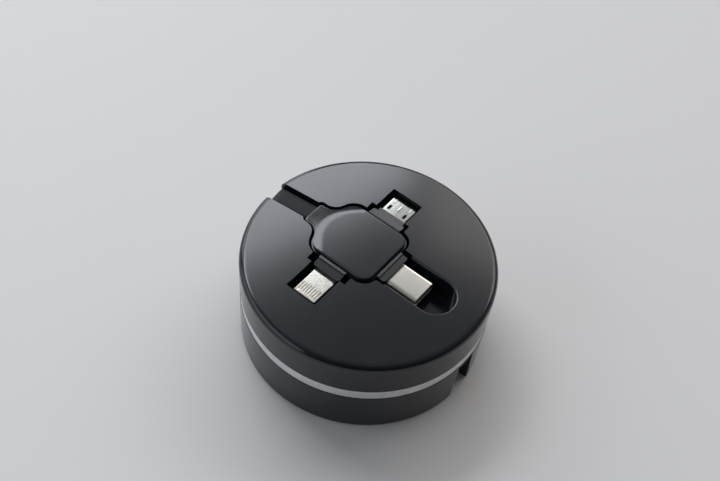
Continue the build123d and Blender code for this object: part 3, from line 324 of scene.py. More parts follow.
class Finish(Enum):
    """Finishes of the pieces, each with the record's slot that it belongs to."""

    CASE = ("case_plastic", MouldedPlastic("charcoal_grained", (0.007, 0.0085, 0.0125), 0.15, depth=0.0005))
    TRIM = ("trim_metal", FinishedMetal("satin_silver_band", (0.84, 0.845, 0.855), 0.36, Streak.ROUND))
    BALL = ("ball_steel", FinishedMetal("polished_ball", (0.62, 0.63, 0.65), 0.12, depth=0.0005))
    REEL = ("reel_plastic", MouldedPlastic("natural_reel", (0.62, 0.6, 0.55), 0.42, 0.5, 0.006, 0.06))
    SPRING = ("spring_steel", FinishedMetal("rolled_strip", (0.36, 0.37, 0.39), 0.3, Streak.NONE))
    JACKET = (
        "cable_jacket",
        MouldedPlastic("soft_jacket", (0.009, 0.01, 0.013), 0.6, 0.3, 0.006, specular=0.3),
    )
    COLLAR = ("collar_plastic", MouldedPlastic("charcoal_satin", (0.01, 0.011, 0.014), 0.28, 0.3, 0.004))
    BOARD = ("board_laminate", Laminate("green_laminate", (0.02, 0.13, 0.05)))
    NICKEL = ("plug_nickel", FinishedMetal("satin_plug", (0.78, 0.752, 0.69), 0.15, Streak.NONE, 0.0004))
    # Bright nickel of the micro plug's sleeve: its base colour is set far below plain nickel as painted
    # shade, for a roof that catches little of the window's light.
    BRIGHT_PAINTED_SHADE = (
        "bright_nickel",
        FinishedMetal("bright_sheet_painted_shade", (0.37, 0.37, 0.345), 0.11, Streak.ALONG_Y, 0.0003),
    )
    INSERT = ("insert_plastic", MouldedPlastic("black_insert", (0.012, 0.012, 0.013), 0.5, 0.2, 0.004))
    GOLD = ("contact_gold", FinishedMetal("gold_plate", (0.83, 0.6, 0.24), 0.28, Streak.NONE, 0.001))
    PALE_GOLD = ("contact_gold", FinishedMetal("pale_plate", (0.36, 0.325, 0.26), 0.2, Streak.NONE, 0.0005))
    INSULATOR = (
        "insulator_plastic",
        MouldedPlastic("white_tongue", (0.78, 0.78, 0.75), 0.45, 0.3, 0.004, 0.04),
    )

    @property
    def slot(self) -> str:
        """Name of the record's material slot."""
        return self.value[0]

    def material(self) -> bpy.types.Material:
        """Material of the finish, made once."""
        found = bpy.data.materials.get(self.value[1].name)
        return found or self.value[1].material()


@dataclass(frozen=True)
class Edges:
    """Edge rounding of a moulded or pressed piece, in millimetres and degrees."""

    radius: float = 0.2
    steps: int = 3
    least_angle: float = 50.0
    flat_angle: float = 0.4
    smooth_angle: float = 32.0


UNROUNDED = Edges(0.0)


def place_mesh(name: str, mesh: bpy.types.Mesh, finish: Finish) -> bpy.types.Object:
    """Put a mesh in the scene as an object at the origin.

    Args:
        name: Name of the piece.
        mesh: Its mesh, in place.
        finish: Its finish.

    Returns:
        The new object.
    """
    mesh.materials.clear()
    mesh.materials.append(finish.material())
    made = bpy.data.objects.new(name, mesh)
    bpy.context.scene.collection.objects.link(made)
    return made


def shade(mesh: bpy.types.Mesh, angle: float) -> None:
    """Smooth shading with edges sharper than an angle kept crisp.

    Args:
        mesh: Mesh to shade.
        angle: Least angle of a crisp edge in degrees.
    """
    work = bmesh.new()
    work.from_mesh(mesh)
    limit = math.radians(angle)
    for face in work.faces:
        face.smooth = True
    for edge in work.edges:
        edge.smooth = len(edge.link_faces) == 2 and edge.calc_face_angle(0.0) < limit
    work.to_mesh(mesh)
    work.free()


def weigh_normals(made: bpy.types.Object) -> None:
    """Keep flat faces flat beside their rounded edges, with the result baked into the mesh.

    Args:
        made: Object to finish.
    """
    weighted = made.modifiers.new("weighted", "WEIGHTED_NORMAL")
    weighted.keep_sharp = True
    weighted.weight = FLAT_WEIGHT
    split = made.modifiers.new("split", "TRIANGULATE")
    split.min_vertices = LEAST_CORNERS
    split.keep_custom_normals = True
    graph = bpy.context.evaluated_depsgraph_get()
    baked = bpy.data.meshes.new_from_object(
        made.evaluated_get(graph), preserve_all_data_layers=True, depsgraph=graph
    )
    made.modifiers.clear()
    made.data = baked


def seat(made: bpy.types.Object, body: Body, finish: Finish, *nodes: str) -> bpy.types.Object:
    """Let a piece ride on its body in place of its solids.

    Args:
        made: The piece.
        body: Body that carries it.
        finish: Its finish, named in the log.
        nodes: Solids that it stands for.

    Returns:
        The piece.
    """
    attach(made, body.value)
    if nodes:
        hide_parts(*nodes)
    triangles = sum(len(face.vertices) - 2 for face in made.data.polygons)
    LOG.info("%s: %d triangles on %s, %s", made.name, triangles, body.value, finish.name.lower())
    return made


class Tree:
    """Geometry node tree with named inputs for its sizes."""

    def __init__(self, name: str) -> None:
        """Make an empty tree with one geometry output.

        Args:
            name: Name of the tree.
        """
        self.group = bpy.data.node_groups.new(name, "GeometryNodeTree")
        self.group.interface.new_socket("Geometry", in_out="OUTPUT", socket_type="NodeSocketGeometry")
        self.entry = self.group.nodes.new("NodeGroupInput")
        self.exit = self.group.nodes.new("NodeGroupOutput")

    def size(self, name: str, kind: str = "Float") -> bpy.types.NodeSocket:
        """Named input of the tree.

        Args:
            name: Name of the input.
            kind: Kind of socket.

        Returns:
            The input's socket inside the tree.
        """
        self.group.interface.new_socket(name, in_out="INPUT", socket_type=f"NodeSocket{kind}")
        return self.entry.outputs[name]

    def add(self, kind: str, inputs: Sequence[object] = (), **settings: object) -> bpy.types.Node:
        """Add a node, set its properties and fill its enabled inputs in order.

        Args:
            kind: Node type without its common prefix.
            inputs: Sockets to link or values to set, with None for an input that is left alone.
            settings: Properties of the node.

        Returns:
            The new node.
        """
        prefix = "" if kind.startswith("ShaderNode") else "GeometryNode"
        node = self.group.nodes.new(prefix + kind)
        for key, value in settings.items():
            setattr(node, key, value)
        shown = [socket for socket in node.inputs if socket.enabled]
        for socket, value in zip(shown, inputs):
            if isinstance(value, bpy.types.NodeSocket):
                self.group.links.new(value, socket)
            elif value is not None:
                socket.default_value = value
        return node

    def maths(self, operation: str, first: object, second: object) -> bpy.types.NodeSocket:
        """Result of a sum, product or the like of two values."""
        return self.add("ShaderNodeMath", (first, second), operation=operation).outputs[0]

    def vector(self, x: object = 0.0, y: object = 0.0, z: object = 0.0) -> bpy.types.NodeSocket:
        """Vector of three values."""
        return self.add("ShaderNodeCombineXYZ", (x, y, z)).outputs[0]

    def close(self, shape: bpy.types.NodeSocket, finish: bpy.types.NodeSocket) -> None:
        """Realize what the tree made, give it its finish and lead it out.

        Args:
            shape: Geometry to lead out.
            finish: Material socket.
        """
        solid = self.add("RealizeInstances", (shape,)).outputs[0]
        dressed = self.add("SetMaterial", (solid, None, finish)).outputs[0]
        self.group.links.new(dressed, self.exit.inputs[0])

    def baked(self, name: str, values: Dict[str, Value]) -> bpy.types.Mesh:
        """Plain mesh of the tree's result.

        Args:
            name: Name of the mesh.
            values: Value of each named input.

        Returns:
            The mesh.
        """
        holder = bpy.data.objects.new(f"{name}_maker", bpy.data.meshes.new(f"{name}_blank"))
        bpy.context.scene.collection.objects.link(holder)
        maker = holder.modifiers.new("maker", "NODES")
        maker.node_group = self.group
        for socket in self.group.interface.items_tree:
            if socket.in_out == "INPUT":
                maker[socket.identifier] = values[socket.name]
        graph = bpy.context.evaluated_depsgraph_get()
        mesh = bpy.data.meshes.new_from_object(
            holder.evaluated_get(graph), preserve_all_data_layers=True, depsgraph=graph
        )
        holder.modifiers.clear()
        blank = holder.data
        bpy.data.objects.remove(holder)
        bpy.data.meshes.remove(blank)
        mesh.name = name
        return mesh


def strip_tree() -> Tree:
    """Tree for rows of flat strips with rounded corners, one row above another.

    Returns:
        The tree, whose strips lie along X in rows along Y.
    """
    tree = Tree("strip_rows")
    length, width, thickness, corner = (tree.size(n) for n in ("Length", "Width", "Thickness", "Corner"))
    count, rows = tree.size("Count", "Int"), tree.size("Rows", "Int")
    pitch, rise = tree.size("Pitch"), tree.size("Rise")
    place, turn = tree.size("Place", "Vector"), tree.size("Turn")
    finish = tree.size("Finish", "Material")
    outline = tree.add("CurvePrimitiveQuadrilateral", (length, width)).outputs[0]
    rounded = tree.add("FilletCurve", (outline, CORNER_STEPS, corner, True), mode="POLY").outputs[0]
    face = tree.add("FillCurve", (rounded, None), mode="NGONS").outputs[0]
    raised = tree.add("ExtrudeMesh", (face, None, None, thickness, False), mode="FACES").outputs[0]
    under = tree.add("FlipFaces", (face,)).outputs[0]
    both = tree.add("JoinGeometry")
    tree.group.links.new(under, both.inputs[0])
    tree.group.links.new(raised, both.inputs[0])
    strip = tree.add("MergeByDistance", (both.outputs[0], None, WELD)).outputs[0]
    shape = strip
    for number, step, axis in ((count, pitch, "y"), (rows, rise, "z")):
        gaps = tree.maths("SUBTRACT", number, 1.0)
        first = tree.maths("MULTIPLY", tree.maths("MULTIPLY", gaps, step), -0.5)
        start, stride = (tree.vector(**{axis: value}) for value in (first, step))
        line = tree.add("MeshLine", (number, start, stride), mode="OFFSET").outputs[0]
        placed = tree.add("InstanceOnPoints", (line, None, shape)).outputs[0]
        shape = tree.add("RealizeInstances", (placed,)).outputs[0]
    moved = tree.add("Transform", (shape, place, tree.vector(z=turn))).outputs[0]
    tree.close(moved, finish)
    return tree


def turns_tree() -> Tree:
    """Tree for a flat cable wound in a spiral about Z.

    Returns:
        The tree.
    """
    tree = Tree("wound_turns")
    turns, inner, outer = tree.size("Turns"), tree.size("Inner"), tree.size("Outer")
    thickness, width, corner = tree.size("Thickness"), tree.size("Width"), tree.size("Corner")
    level, finish = tree.size("Level"), tree.size("Finish", "Material")
    spiral = tree.add("CurveSpiral", (SPIRAL_STEPS, turns, inner, outer, 0.0, False)).outputs[0]
    upright = tree.add("SetCurveNormal", (spiral,), mode="Z_UP").outputs[0]
    outline = tree.add("CurvePrimitiveQuadrilateral", (thickness, width)).outputs[0]
    rounded = tree.add("FilletCurve", (outline, CORNER_STEPS, corner, True), mode="POLY").outputs[0]
    swept = tree.add("CurveToMesh")
    for source, target in ((upright, "Curve"), (rounded, "Profile Curve")):
        tree.group.links.new(source, swept.inputs[target])
    swept.inputs["Fill Caps"].default_value = True
    moved = tree.add("Transform", (swept.outputs[0], tree.vector(z=level))).outputs[0]
    tree.close(moved, finish)
    return tree


@dataclass(frozen=True)
class LidFall:
    """Rounded fall of the hub's lid to its neck, in millimetres from the hub's centre."""

    centre: Point2 = (-4.5, 1.6)
    top: float = 28.4
    solid_start: float = 6.0
    solid_end: float = 13.5
    solid_drop: float = 0.8
    start: float = 9.4
    bow: float = 0.065
    turn: float = 2.6
    tilt: float = 0.16
    depth: float = 0.9
    skin: float = 0.04
    reach: Tuple[float, float] = (5.0, 15.6)
    half_width: float = 9.6
    step: float = 0.4
    margin: float = 0.1
    facing_up: float = 0.5

    def solid(self, along: float) -> float:
        """Drop of the solid's face at a distance towards the neck."""
        share = min(max((along - self.solid_start) / (self.solid_end - self.solid_start), 0.0), 1.0)
        return self.solid_drop * share * share * (3 - 2 * share)

    def rounded(self, along: float, across: float) -> float:
        """Drop of the rounded face at a place on the lid."""
        past = max(along - self.start + self.bow * across * across, 0.0)
        if past < self.turn:
            return self.tilt * past * past / (2 * self.turn)
        return self.tilt * (past - self.turn / 2)

    def press(self, work: bmesh.types.BMesh) -> None:
        """Divide the lid's face over the fall and press it to its rounded shape.

        Args:
            work: The lid's mesh.
        """
        x, y = self.centre
        floor = (self.top - self.solid_drop - self.margin) * MM
        faces = [f for f in work.faces if f.normal.z > self.facing_up and f.calc_center_median().z > floor]
        geom = list({part for f in faces for part in (f, *f.edges, *f.verts)})
        first, last = self.reach
        cuts = [((x - first - self.step * i) * MM, 0.0) for i in range(round((last - first) / self.step))]
        rows = round(2 * self.half_width / self.step)
        cuts += [(0.0, (y - self.half_width + self.step * i) * MM) for i in range(rows + 1)]
        for place in cuts:
            normal = (bool(place[0]), not place[0], 0.0)
            geom = bmesh.ops.bisect_plane(
                work, geom=geom, dist=CUT_REACH, plane_co=(*place, 0.0), plane_no=normal
            )["geom"]
        for vert in work.verts:
            along, across = x - vert.co.x / MM, vert.co.y / MM - y
            old, new = self.solid(along), self.rounded(along, across)
            below = self.top - old - vert.co.z / MM
            if abs(below) < self.skin:
                vert.co.z = (self.top - new) * MM
            else:
                vert.co.z += (1 - min(max(below / self.depth, 0.0), 1.0)) * (old - new) * MM


@dataclass(frozen=True)
class SpringTab:
    """Inner end of the return spring, cut off beside the post that holds it, in millimetres."""

    tip: float = 2.6
    cut: float = 3.15
    thickness: float = 0.3
    rounding: float = 0.04

    def press(self, work: bmesh.types.BMesh) -> None:
        """Draw the spring's tab back to the cut.

        Args:
            work: The spring's mesh.
        """
        for vert in work.verts:
            if math.hypot(vert.co.x, vert.co.y) < self.cut * MM:
                vert.co.x += (self.cut - self.tip) * MM

    def hook(self, low: float, high: float) -> bpy.types.Mesh:
        """Make the end that stays in the post.

        Args:
            low: Level of its lower edge in metres.
            high: Level of its upper edge in metres.

        Returns:
            The mesh.
        """
        work = bmesh.new()
        bmesh.ops.create_cube(work, size=1.0)
        size = Vector(((self.cut - self.tip) * MM, self.thickness * MM, high - low))
        middle = Vector(((self.cut + self.tip) / 2 * MM, self.thickness / 2 * MM, (low + high) / 2))
        for vert in work.verts:
            vert.co = Vector(a * b for a, b in zip(vert.co, size)) + middle
        bmesh.ops.bevel(
            work,
            geom=work.edges[:],
            offset=self.rounding * MM,
            segments=2,
            profile=ROUND_PROFILE,
            affect="EDGES",
        )
        mesh = bpy.data.meshes.new("spring_hook")
        work.to_mesh(mesh)
        work.free()
        shade(mesh, SWEPT_CREASE)
        return mesh


def softened(
    node: str,
    name: str,
    body: Body,
    finish: Finish,
    edges: Edges,
    form: Union[LidFall, SpringTab, None] = None,
) -> bpy.types.Object:
    """Copy of a solid with its outer edges rounded.

    Args:
        node: Solid to copy.
        name: Name of the piece.
        body: Body that carries it.
        finish: Its finish.
        edges: Its edge rounding.
        form: Change to its shape, where it has one.

    Returns:
        The piece.
    """
    work = bmesh.new()
    work.from_mesh(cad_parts[node].data)
    bmesh.ops.remove_doubles(work, verts=work.verts, dist=SEAM)
    bmesh.ops.dissolve_limit(
        work,
        angle_limit=math.radians(edges.flat_angle),
        verts=work.verts,
        edges=work.edges,
        delimit={"NORMAL"},
    )
    if edges.radius:
        least = math.radians(edges.least_angle)
        sharp = [
            edge
            for edge in work.edges
            if len(edge.link_faces) == 2 and edge.is_convex and edge.calc_face_angle(0.0) > least
        ]
        bmesh.ops.bevel(
            work,
            geom=sharp,
            offset=edges.radius * MM,
            offset_type="OFFSET",
            segments=edges.steps,
            profile=ROUND_PROFILE,
            affect="EDGES",
            clamp_overlap=True,
            loop_slide=True,
        )
    if form:
        form.press(work)
    mesh = bpy.data.meshes.new(name)
    work.to_mesh(mesh)
    open_edges = sum(1 for edge in work.edges if len(edge.link_faces) != 2)
    work.free()
    if open_edges:
        LOG.warning("%s has %d open edges", name, open_edges)
    shade(mesh, edges.smooth_angle)
    made = place_mesh(name, mesh, finish)
    weigh_normals(made)
    return seat(made, body, finish, node)


def dress(node: str, finish: Finish) -> None:
    """Give a solid that stays as it is its finish.

    Args:
        node: Name of the solid.
        finish: Its finish.
    """
    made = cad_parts[node]
    if not made.material_slots:
        made.data.materials.append(finish.material())
    for holder in made.material_slots:
        holder.material = finish.material()
    LOG.info("%s: kept, %s", node, finish.name.lower())


@dataclass
class Case:
    """Round case: two shells, the band between them and the latch ball inside."""

    shell_edges: Edges = Edges(0.22, 3)
    band_edges: Edges = UNROUNDED

    def build(self) -> None:
        """Make and dress the case's pieces."""
        softened("upper_shell", "top_cover", Body.CASE, Finish.CASE, self.shell_edges)
        softened("lower_shell", "bottom_cover", Body.CASE, Finish.CASE, self.shell_edges)
        softened("trim_ring", "silver_band", Body.CASE, Finish.TRIM, self.band_edges)
        softened("latch_ball", "latch_sphere", Body.CASE, Finish.BALL, UNROUNDED)


@dataclass
class Reel:
    """Reel inside the case: drum, cover, spring and wound cable, sizes in millimetres."""

    core: float = 12.55
    turns: float = 7.0
    spare_turn: float = 0.5
    thickness: float = 1.4
    corner: float = 0.5
    edges: Edges = Edges(0.1, 2)
    tab: SpringTab = SpringTab()

    def wind(self) -> None:
        """Wind the cable's turns on the drum."""
        low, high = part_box("wound_cable")
        half = self.thickness * MM / 2
        core = self.core * MM
        pitch = (high[0] - half - core) / (self.turns + self.spare_turn)
        mesh = turns_tree().baked(
            "wound_turns",
            {
                "Turns": self.turns,
                "Inner": core + half,
                "Outer": core + half + self.turns * pitch,
                "Thickness": self.thickness * MM,
                "Width": high[2] - low[2],
                "Corner": self.corner * MM,
                "Level": (low[2] + high[2]) / 2,
                "Finish": Finish.JACKET.material(),
            },
        )
        shade(mesh, SWEPT_CREASE)
        seat(place_mesh("wound_turns", mesh, Finish.JACKET), Body.REEL, Finish.JACKET, "wound_cable")

    def build(self) -> None:
        """Make and dress the reel's pieces."""
        softened("reel_drum", "drum", Body.REEL, Finish.REEL, self.edges)
        softened("reel_cover", "drum_cover", Body.REEL, Finish.REEL, self.edges)
        softened("power_spring", "return_spring", Body.REEL, Finish.SPRING, UNROUNDED, self.tab)
        low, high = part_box("power_spring")
        hook = place_mesh("spring_hook", self.tab.hook(low[2], high[2]), Finish.SPRING)
        seat(hook, Body.CASE, Finish.SPRING)
        self.wind()


@dataclass(frozen=True)
class ContactRows:
    """Rows of contact strips of one plug, sizes in millimetres, in the box of their solids."""

    node: str
    name: str
    body: Body
    count: int
    rows: int
    width: float
    thickness: float
    along: int
    finish: Finish
    corner_share: float = 0.3

    def build(self, tree: Tree) -> None:
        """Lay the strips.

        Args:
            tree: Tree that makes rows of strips.
        """
        low, high = (Vector(corner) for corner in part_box(self.node))
        size, middle = high - low, (low + high) / 2
        across = 1 - self.along
        gaps, steps = self.count - 1, self.rows - 1
        rise = (size.z - self.thickness * MM) / steps if steps else 0.0
        mesh = tree.baked(
            self.name,
            {
                "Length": size[self.along],
                "Width": self.width * MM,
                "Thickness": self.thickness * MM,
                "Corner": self.width * MM * self.corner_share,
                "Count": self.count,
                "Rows": self.rows,
                "Pitch": (size[across] - self.width * MM) / gaps,
                "Rise": rise,
                "Place": (middle.x, middle.y, middle.z - self.thickness * MM / 2),
                "Turn": math.radians(90.0 * self.along),
                "Finish": self.finish.material(),
            },
        )
        shade(mesh, STRIP_CREASE)
        seat(place_mesh(self.name, mesh, self.finish), self.body, self.finish, self.node)


@dataclass
class Head:
    """Three-plug head: hub, collars and plugs."""

    hub_edges: Edges = Edges(0.25, 3)
    lid_fall: LidFall = LidFall()
    collar_edges: Edges = Edges(0.25, 3)
    sheet_edges: Edges = Edges(0.08, 2)

    def build(self) -> None:
        """Make and dress the head's pieces."""
        softened("hub_top_shell", "hub_lid", Body.HEAD, Finish.CASE, self.hub_edges, self.lid_fall)
        softened("hub_bottom_shell", "hub_tub", Body.HEAD, Finish.CASE, self.hub_edges)
        for plug in ("type_c", "eight_pin", "micro_b"):
            softened(f"{plug}_collar", f"{plug}_grip", Body.HEAD, Finish.COLLAR, self.collar_edges)
        softened("type_c_shell", "oval_sleeve", Body.HEAD, Finish.NICKEL, self.sheet_edges)
        softened("eight_pin_tongue", "flat_tongue", Body.HEAD, Finish.NICKEL, self.sheet_edges)
        softened("micro_b_shell", "folded_sleeve", Body.HEAD, Finish.BRIGHT_PAINTED_SHADE, self.sheet_edges)
        for node, finish in (
            ("circuit_board", Finish.BOARD),
            ("type_c_insert", Finish.INSERT),
            ("micro_b_insert", Finish.INSERT),
            ("micro_b_latches", Finish.SPRING),
        ):
            dress(node, finish)


@dataclass
class SupplyPlug:
    """Supply plug in the underside."""

    grip_edges: Edges = Edges(0.2, 3)
    sheet_edges: Edges = Edges(0.08, 2)

    def build(self) -> None:
        """Make and dress the supply plug's pieces."""
        softened("type_a_overmould", "supply_grip", Body.PLUG, Finish.COLLAR, self.grip_edges)
        softened("type_a_shell", "supply_sleeve", Body.PLUG, Finish.NICKEL, self.sheet_edges)
        dress("type_a_insulator", Finish.INSULATOR)


@dataclass
class Contacts:
    """Contact strips of all four plugs."""

    rows: Tuple[ContactRows, ...] = (
        ContactRows("type_c_contacts", "oval_pins", Body.HEAD, 12, 2, 0.26, 0.12, 0, Finish.GOLD),
        ContactRows("eight_pin_contacts", "flat_pins", Body.HEAD, 8, 2, 0.42, 0.12, 1, Finish.PALE_GOLD),
        ContactRows("micro_b_contacts", "folded_pins", Body.HEAD, 5, 1, 0.26, 0.12, 1, Finish.GOLD),
        ContactRows("type_a_contacts", "supply_pins", Body.PLUG, 4, 1, 1.1, 0.25, 0, Finish.GOLD),
    )

    def build(self) -> None:
        """Lay every plug's strips."""
        tree = strip_tree()
        for row in self.rows:
            row.build(tree)


@dataclass
class FlatCable:
    """Flat cable swept along straight runs and bends in one upright plane, sizes in millimetres."""

    name: str
    origin: Point2
    yaw: float
    runs: Sequence[Tuple[float, float, float]]
    start: Point2
    heading: float
    width: float = 5.0
    thickness: float = 1.4
    corner: float = 0.5
    corner_steps: int = 4
    pace: float = 0.35

    def stations(self) -> List[Tuple[Point2, float]]:
        """Points along the route with their headings.

        Returns:
            A list of (distance out and level, heading in radians).
        """
        (x, z), heading = self.start, math.radians(self.heading)
        line = [((x, z), heading)]
        for length, turn, radius in self.runs:
            bend = math.radians(turn)
            span = length if not turn else abs(bend) * radius
            steps = max(1, round(span / self.pace))
            for _ in range(steps):
                share = span / steps
                heading += bend / steps / 2
                chord = share if not turn else 2 * radius * math.sin(abs(bend) / steps / 2)
                x, z = x + chord * math.cos(heading), z + chord * math.sin(heading)
                heading += bend / steps / 2
                line.append(((x, z), heading))
        return line

    def section(self) -> List[Point2]:
        """Rounded section as (across, up) points."""
        points = []
        half, up = self.width / 2 - self.corner, self.thickness / 2 - self.corner
        for side, (sx, sz) in enumerate(((1, 1), (-1, 1), (-1, -1), (1, -1))):
            for step in range(self.corner_steps + 1):
                angle = math.radians(90 * side + 90 * step / self.corner_steps)
                points.append(
                    (sx * half + self.corner * math.cos(angle), sz * up + self.corner * math.sin(angle))
                )
        return points

    def build(self, finish: Finish) -> bpy.types.Object:
        """Sweep the cable.

        Args:
            finish: Its finish.

        Returns:
            The cable's object, not yet riding on a body.
        """
        out = Vector((math.cos(math.radians(self.yaw)), math.sin(math.radians(self.yaw)), 0.0))
        side = Vector((-out.y, out.x, 0.0))
        base = Vector((*self.origin, 0.0))
        section = self.section()
        work = bmesh.new()
        rings = []
        for (reach, level), heading in self.stations():
            up = out * -math.sin(heading) + Vector((0, 0, math.cos(heading)))
            centre = base + out * reach + Vector((0, 0, level))
            rings.append([work.verts.new((centre + side * a + up * b) * MM) for a, b in section])
        count = len(section)
        for first, second in zip(rings, rings[1:]):
            for i in range(count):
                j = (i + 1) % count
                work.faces.new((first[i], first[j], second[j], second[i]))
        work.faces.new(rings[0][::-1])
        work.faces.new(rings[-1])
        bmesh.ops.recalc_face_normals(work, faces=work.faces)
        mesh = bpy.data.meshes.new(self.name)
        work.to_mesh(mesh)
        work.free()
        shade(mesh, SWEPT_CREASE)
        return place_mesh(self.name, mesh, finish)


@dataclass
class Cables:
    """The two stretches of flat cable between the case and its plugs."""

    bend: float = 1.95
    neck: Point2 = (-20.0, 1.6)
    slot_yaw: float = 186.2
    slot_level: float = 26.3
    in_hub: float = 8.7
    slot_run: float = 9.5226
    in_case: float = 3.0
    foot: float = 13.9
    plug_level: float = 3.7
    roof_level: float = 6.25
    jog_radius: float = 4.0
    rise: float = 11.35
    rim_bend: float = 28.45
    lead: float = 8.0
    upper_hold: Point3 = (-27.95, 0.74, 26.3)
    upper_free: Point3 = (-20.5, 1.55, 26.3)
    lower_hold: Point3 = (27.7, 0.0, 6.2)
    lower_free: Point3 = (21.4, 0.0, 6.2)

    def build(self) -> None:
        """Sweep both cables, with their bends, in place of their solids."""
        upper = FlatCable(
            "head_cable",
            self.neck,
            self.slot_yaw,
            ((self.in_hub + self.slot_run, 0, 0), (0, -180, self.bend), (self.in_case, 0, 0)),
            (-self.in_hub, self.slot_level),
            0.0,
        ).build(Finish.JACKET)
        jog = math.degrees(math.acos(1 - (self.roof_level - self.plug_level) / (2 * self.jog_radius)))
        jogged = 2 * self.jog_radius * math.sin(math.radians(jog))
        climb = self.rise - self.roof_level - 2 * self.bend
        lower = FlatCable(
            "supply_cable",
            (0.0, 0.0),
            0.0,
            (
                (self.lead, 0, 0),
                (0, jog, self.jog_radius),
                (0, -jog, self.jog_radius),
                (self.rim_bend - self.foot - self.lead - jogged, 0, 0),
                (0, 90, self.bend),
                (climb, 0, 0),
                (0, 90, self.bend),
                (self.in_case, 0, 0),
            ),
            (self.foot, self.plug_level),
            0.0,
        ).build(Finish.JACKET)
        for made, node, body, start, end in (
            (upper, "upper_cable", Body.HEAD, self.upper_hold, self.upper_free),
            (lower, "lower_cable", Body.PLUG, self.lower_hold, self.lower_free),
        ):
            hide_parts(node)
            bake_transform(made)
            LOG.info("%s: bends between case and %s", made.name, body.value)


@dataclass(frozen=True)
class Window:
    """Soft light in an upright wall, by bearing and height as seen from the table, in degrees and metres."""

    name: str
    facing: float
    first: float
    last: float
    low: float
    high: float
    distance: float
    radiance: float
    colour: Colour

    def hang(self) -> None:
        """Put the light up in its wall."""
        bearing = math.radians(self.facing)
        outward = Vector((math.cos(bearing), math.sin(bearing), 0.0))
        along = Vector((-outward.y, outward.x, 0.0))
        bearings = (self.first - self.facing, self.last - self.facing)
        start, stop = (self.distance * math.tan(math.radians(a)) for a in bearings)
        bottom, top = (self.distance * math.tan(math.radians(a)) for a in (self.low, self.high))
        lamp = bpy.data.lights.new(self.name, "AREA")
        lamp.shape = "RECTANGLE"
        lamp.size, lamp.size_y = stop - start, top - bottom
        lamp.energy = self.radiance * math.pi * lamp.size * lamp.size_y
        lamp.color = self.colour
        made = bpy.data.objects.new(self.name, lamp)
        middle = Vector((0, 0, (bottom + top) / 2))
        made.location = outward * self.distance + along * (start + stop) / 2 + middle
        made.rotation_mode = "QUATERNION"
        made.rotation_quaternion = outward.to_track_quat("Z", "Y")
        bpy.context.scene.collection.objects.link(made)


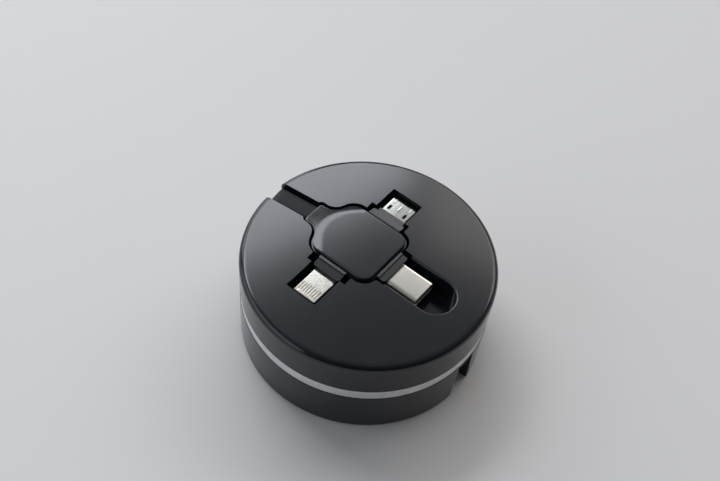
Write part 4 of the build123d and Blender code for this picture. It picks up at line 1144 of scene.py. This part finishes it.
@dataclass
class Studio:
    """Pale table, soft window light from behind and the camera of the photograph."""

    eye: Point3 = (77.59, -124.1, 223.4)
    right: Point3 = (0.7771, 0.6248, 0.0755)
    up: Point3 = (-0.5333, 0.5900, 0.6062)
    back: Point3 = (0.3342, -0.5114, 0.7917)
    lens: float = 49.01
    sensor: float = 36.0
    clip: Tuple[float, float] = (0.01, 20.0)
    windows: Tuple[Window, ...] = (
        Window("main_window", 162.0, 119.0, 182.0, 45.0, 57.3, 0.9, 6.6, DAYLIGHT),
        Window("low_window", 160.0, 138.0, 182.0, 14.0, 38.0, 0.8, 2.8, DAYLIGHT),
        Window("side_wall", 105.0, 62.0, 117.0, 30.0, 52.6, 1.6, 2.6, WARM_WALL),
        Window("left_wall", 228.0, 192.0, 264.0, 8.0, 42.0, 0.7, 1.15, COOL_WALL),
    )
    bright_bearing: float = 130.0
    room_colour: Colour = (0.94, 0.97, 1.0)
    room_tilt: float = 0.6
    room_span: Tuple[float, float] = (-0.5, 0.8)
    room_front: float = 0.055
    room_back: float = 0.3
    table: Colour = (0.765, 0.75, 0.74)
    table_shade: float = 0.985
    table_half: float = 3.0
    table_cells: int = 8
    table_mottle: float = 3.0
    table_grain: float = 2500.0
    table_roughness: Tuple[float, float] = (0.55, 0.6)
    table_specular: float = 0.3
    table_depth: float = 0.01
    table_relief: float = 0.3

    def floor(self) -> None:
        """Make the table top."""
        work = bmesh.new()
        cells = self.table_cells
        bmesh.ops.create_grid(work, x_segments=cells, y_segments=cells, size=self.table_half)
        mesh = bpy.data.meshes.new("table_top")
        work.to_mesh(mesh)
        work.free()
        sheet = Sheet("table_laminate")
        broad = sheet.noise(self.table_mottle, 2.0)
        low = tuple(c * self.table_shade for c in self.table)
        sheet.link(sheet.between(broad, low, self.table), sheet.shader.inputs["Base Color"])
        sheet.link(sheet.span(broad, *self.table_roughness), sheet.shader.inputs["Roughness"])
        sheet.bump(sheet.noise(self.table_grain, 2.0), self.table_depth * MM, self.table_relief)
        sheet.set(Specular_IOR_Level=self.table_specular)
        mesh.materials.append(sheet.material)
        made = bpy.data.objects.new("table_top", mesh)
        bpy.context.scene.collection.objects.link(made)

    def lights(self) -> None:
        """Hang the windows and set the room's own light, brighter on the windows' side."""
        for window in self.windows:
            window.hang()
        bearing = math.radians(self.bright_bearing)
        world = bpy.data.worlds.new("room")
        world.use_nodes = True
        nodes, links = world.node_tree.nodes, world.node_tree.links
        ground = nodes["Background"]
        ground.inputs["Color"].default_value = rgba(self.room_colour)
        ray = nodes.new("ShaderNodeTexCoord")
        facing = nodes.new("ShaderNodeVectorMath")
        facing.operation = "DOT_PRODUCT"
        bright_side = Vector((math.cos(bearing), math.sin(bearing), self.room_tilt)).normalized()
        facing.inputs[1].default_value = bright_side
        level = nodes.new("ShaderNodeMapRange")
        level.interpolation_type = "SMOOTHSTEP"
        keys = ("From Min", "From Max", "To Min", "To Max")
        for key, value in zip(keys, (*self.room_span, self.room_front, self.room_back)):
            level.inputs[key].default_value = value
        links.new(ray.outputs["Generated"], facing.inputs[0])
        links.new(facing.outputs["Value"], level.inputs["Value"])
        links.new(level.outputs[0], ground.inputs["Strength"])
        bpy.context.scene.world = world

    def camera(self) -> None:
        """Stand the camera where the photograph was taken from."""
        lens = bpy.data.cameras.new("viewpoint")
        lens.lens, lens.sensor_width = self.lens, self.sensor
        lens.clip_start, lens.clip_end = self.clip
        made = bpy.data.objects.new("viewpoint", lens)
        turn = Matrix((self.right, self.up, self.back)).transposed()
        made.matrix_world = Matrix.Translation(Vector(self.eye) * MM) @ turn.to_4x4()
        bpy.context.scene.collection.objects.link(made)
        bpy.context.scene.camera = made

    def build(self) -> None:
        """Set up the studio."""
        self.floor()
        self.lights()
        self.camera()
        bpy.context.scene.view_settings.view_transform = "Standard"


def main() -> None:
    """Build the part and the studio, in order."""
    logging.basicConfig(level=logging.INFO, format="%(name)s %(message)s")
    for part in (Case(), Reel(), Head(), SupplyPlug(), Contacts(), Cables(), Studio()):
        part.build()


if __name__ == "__main__":
    main()
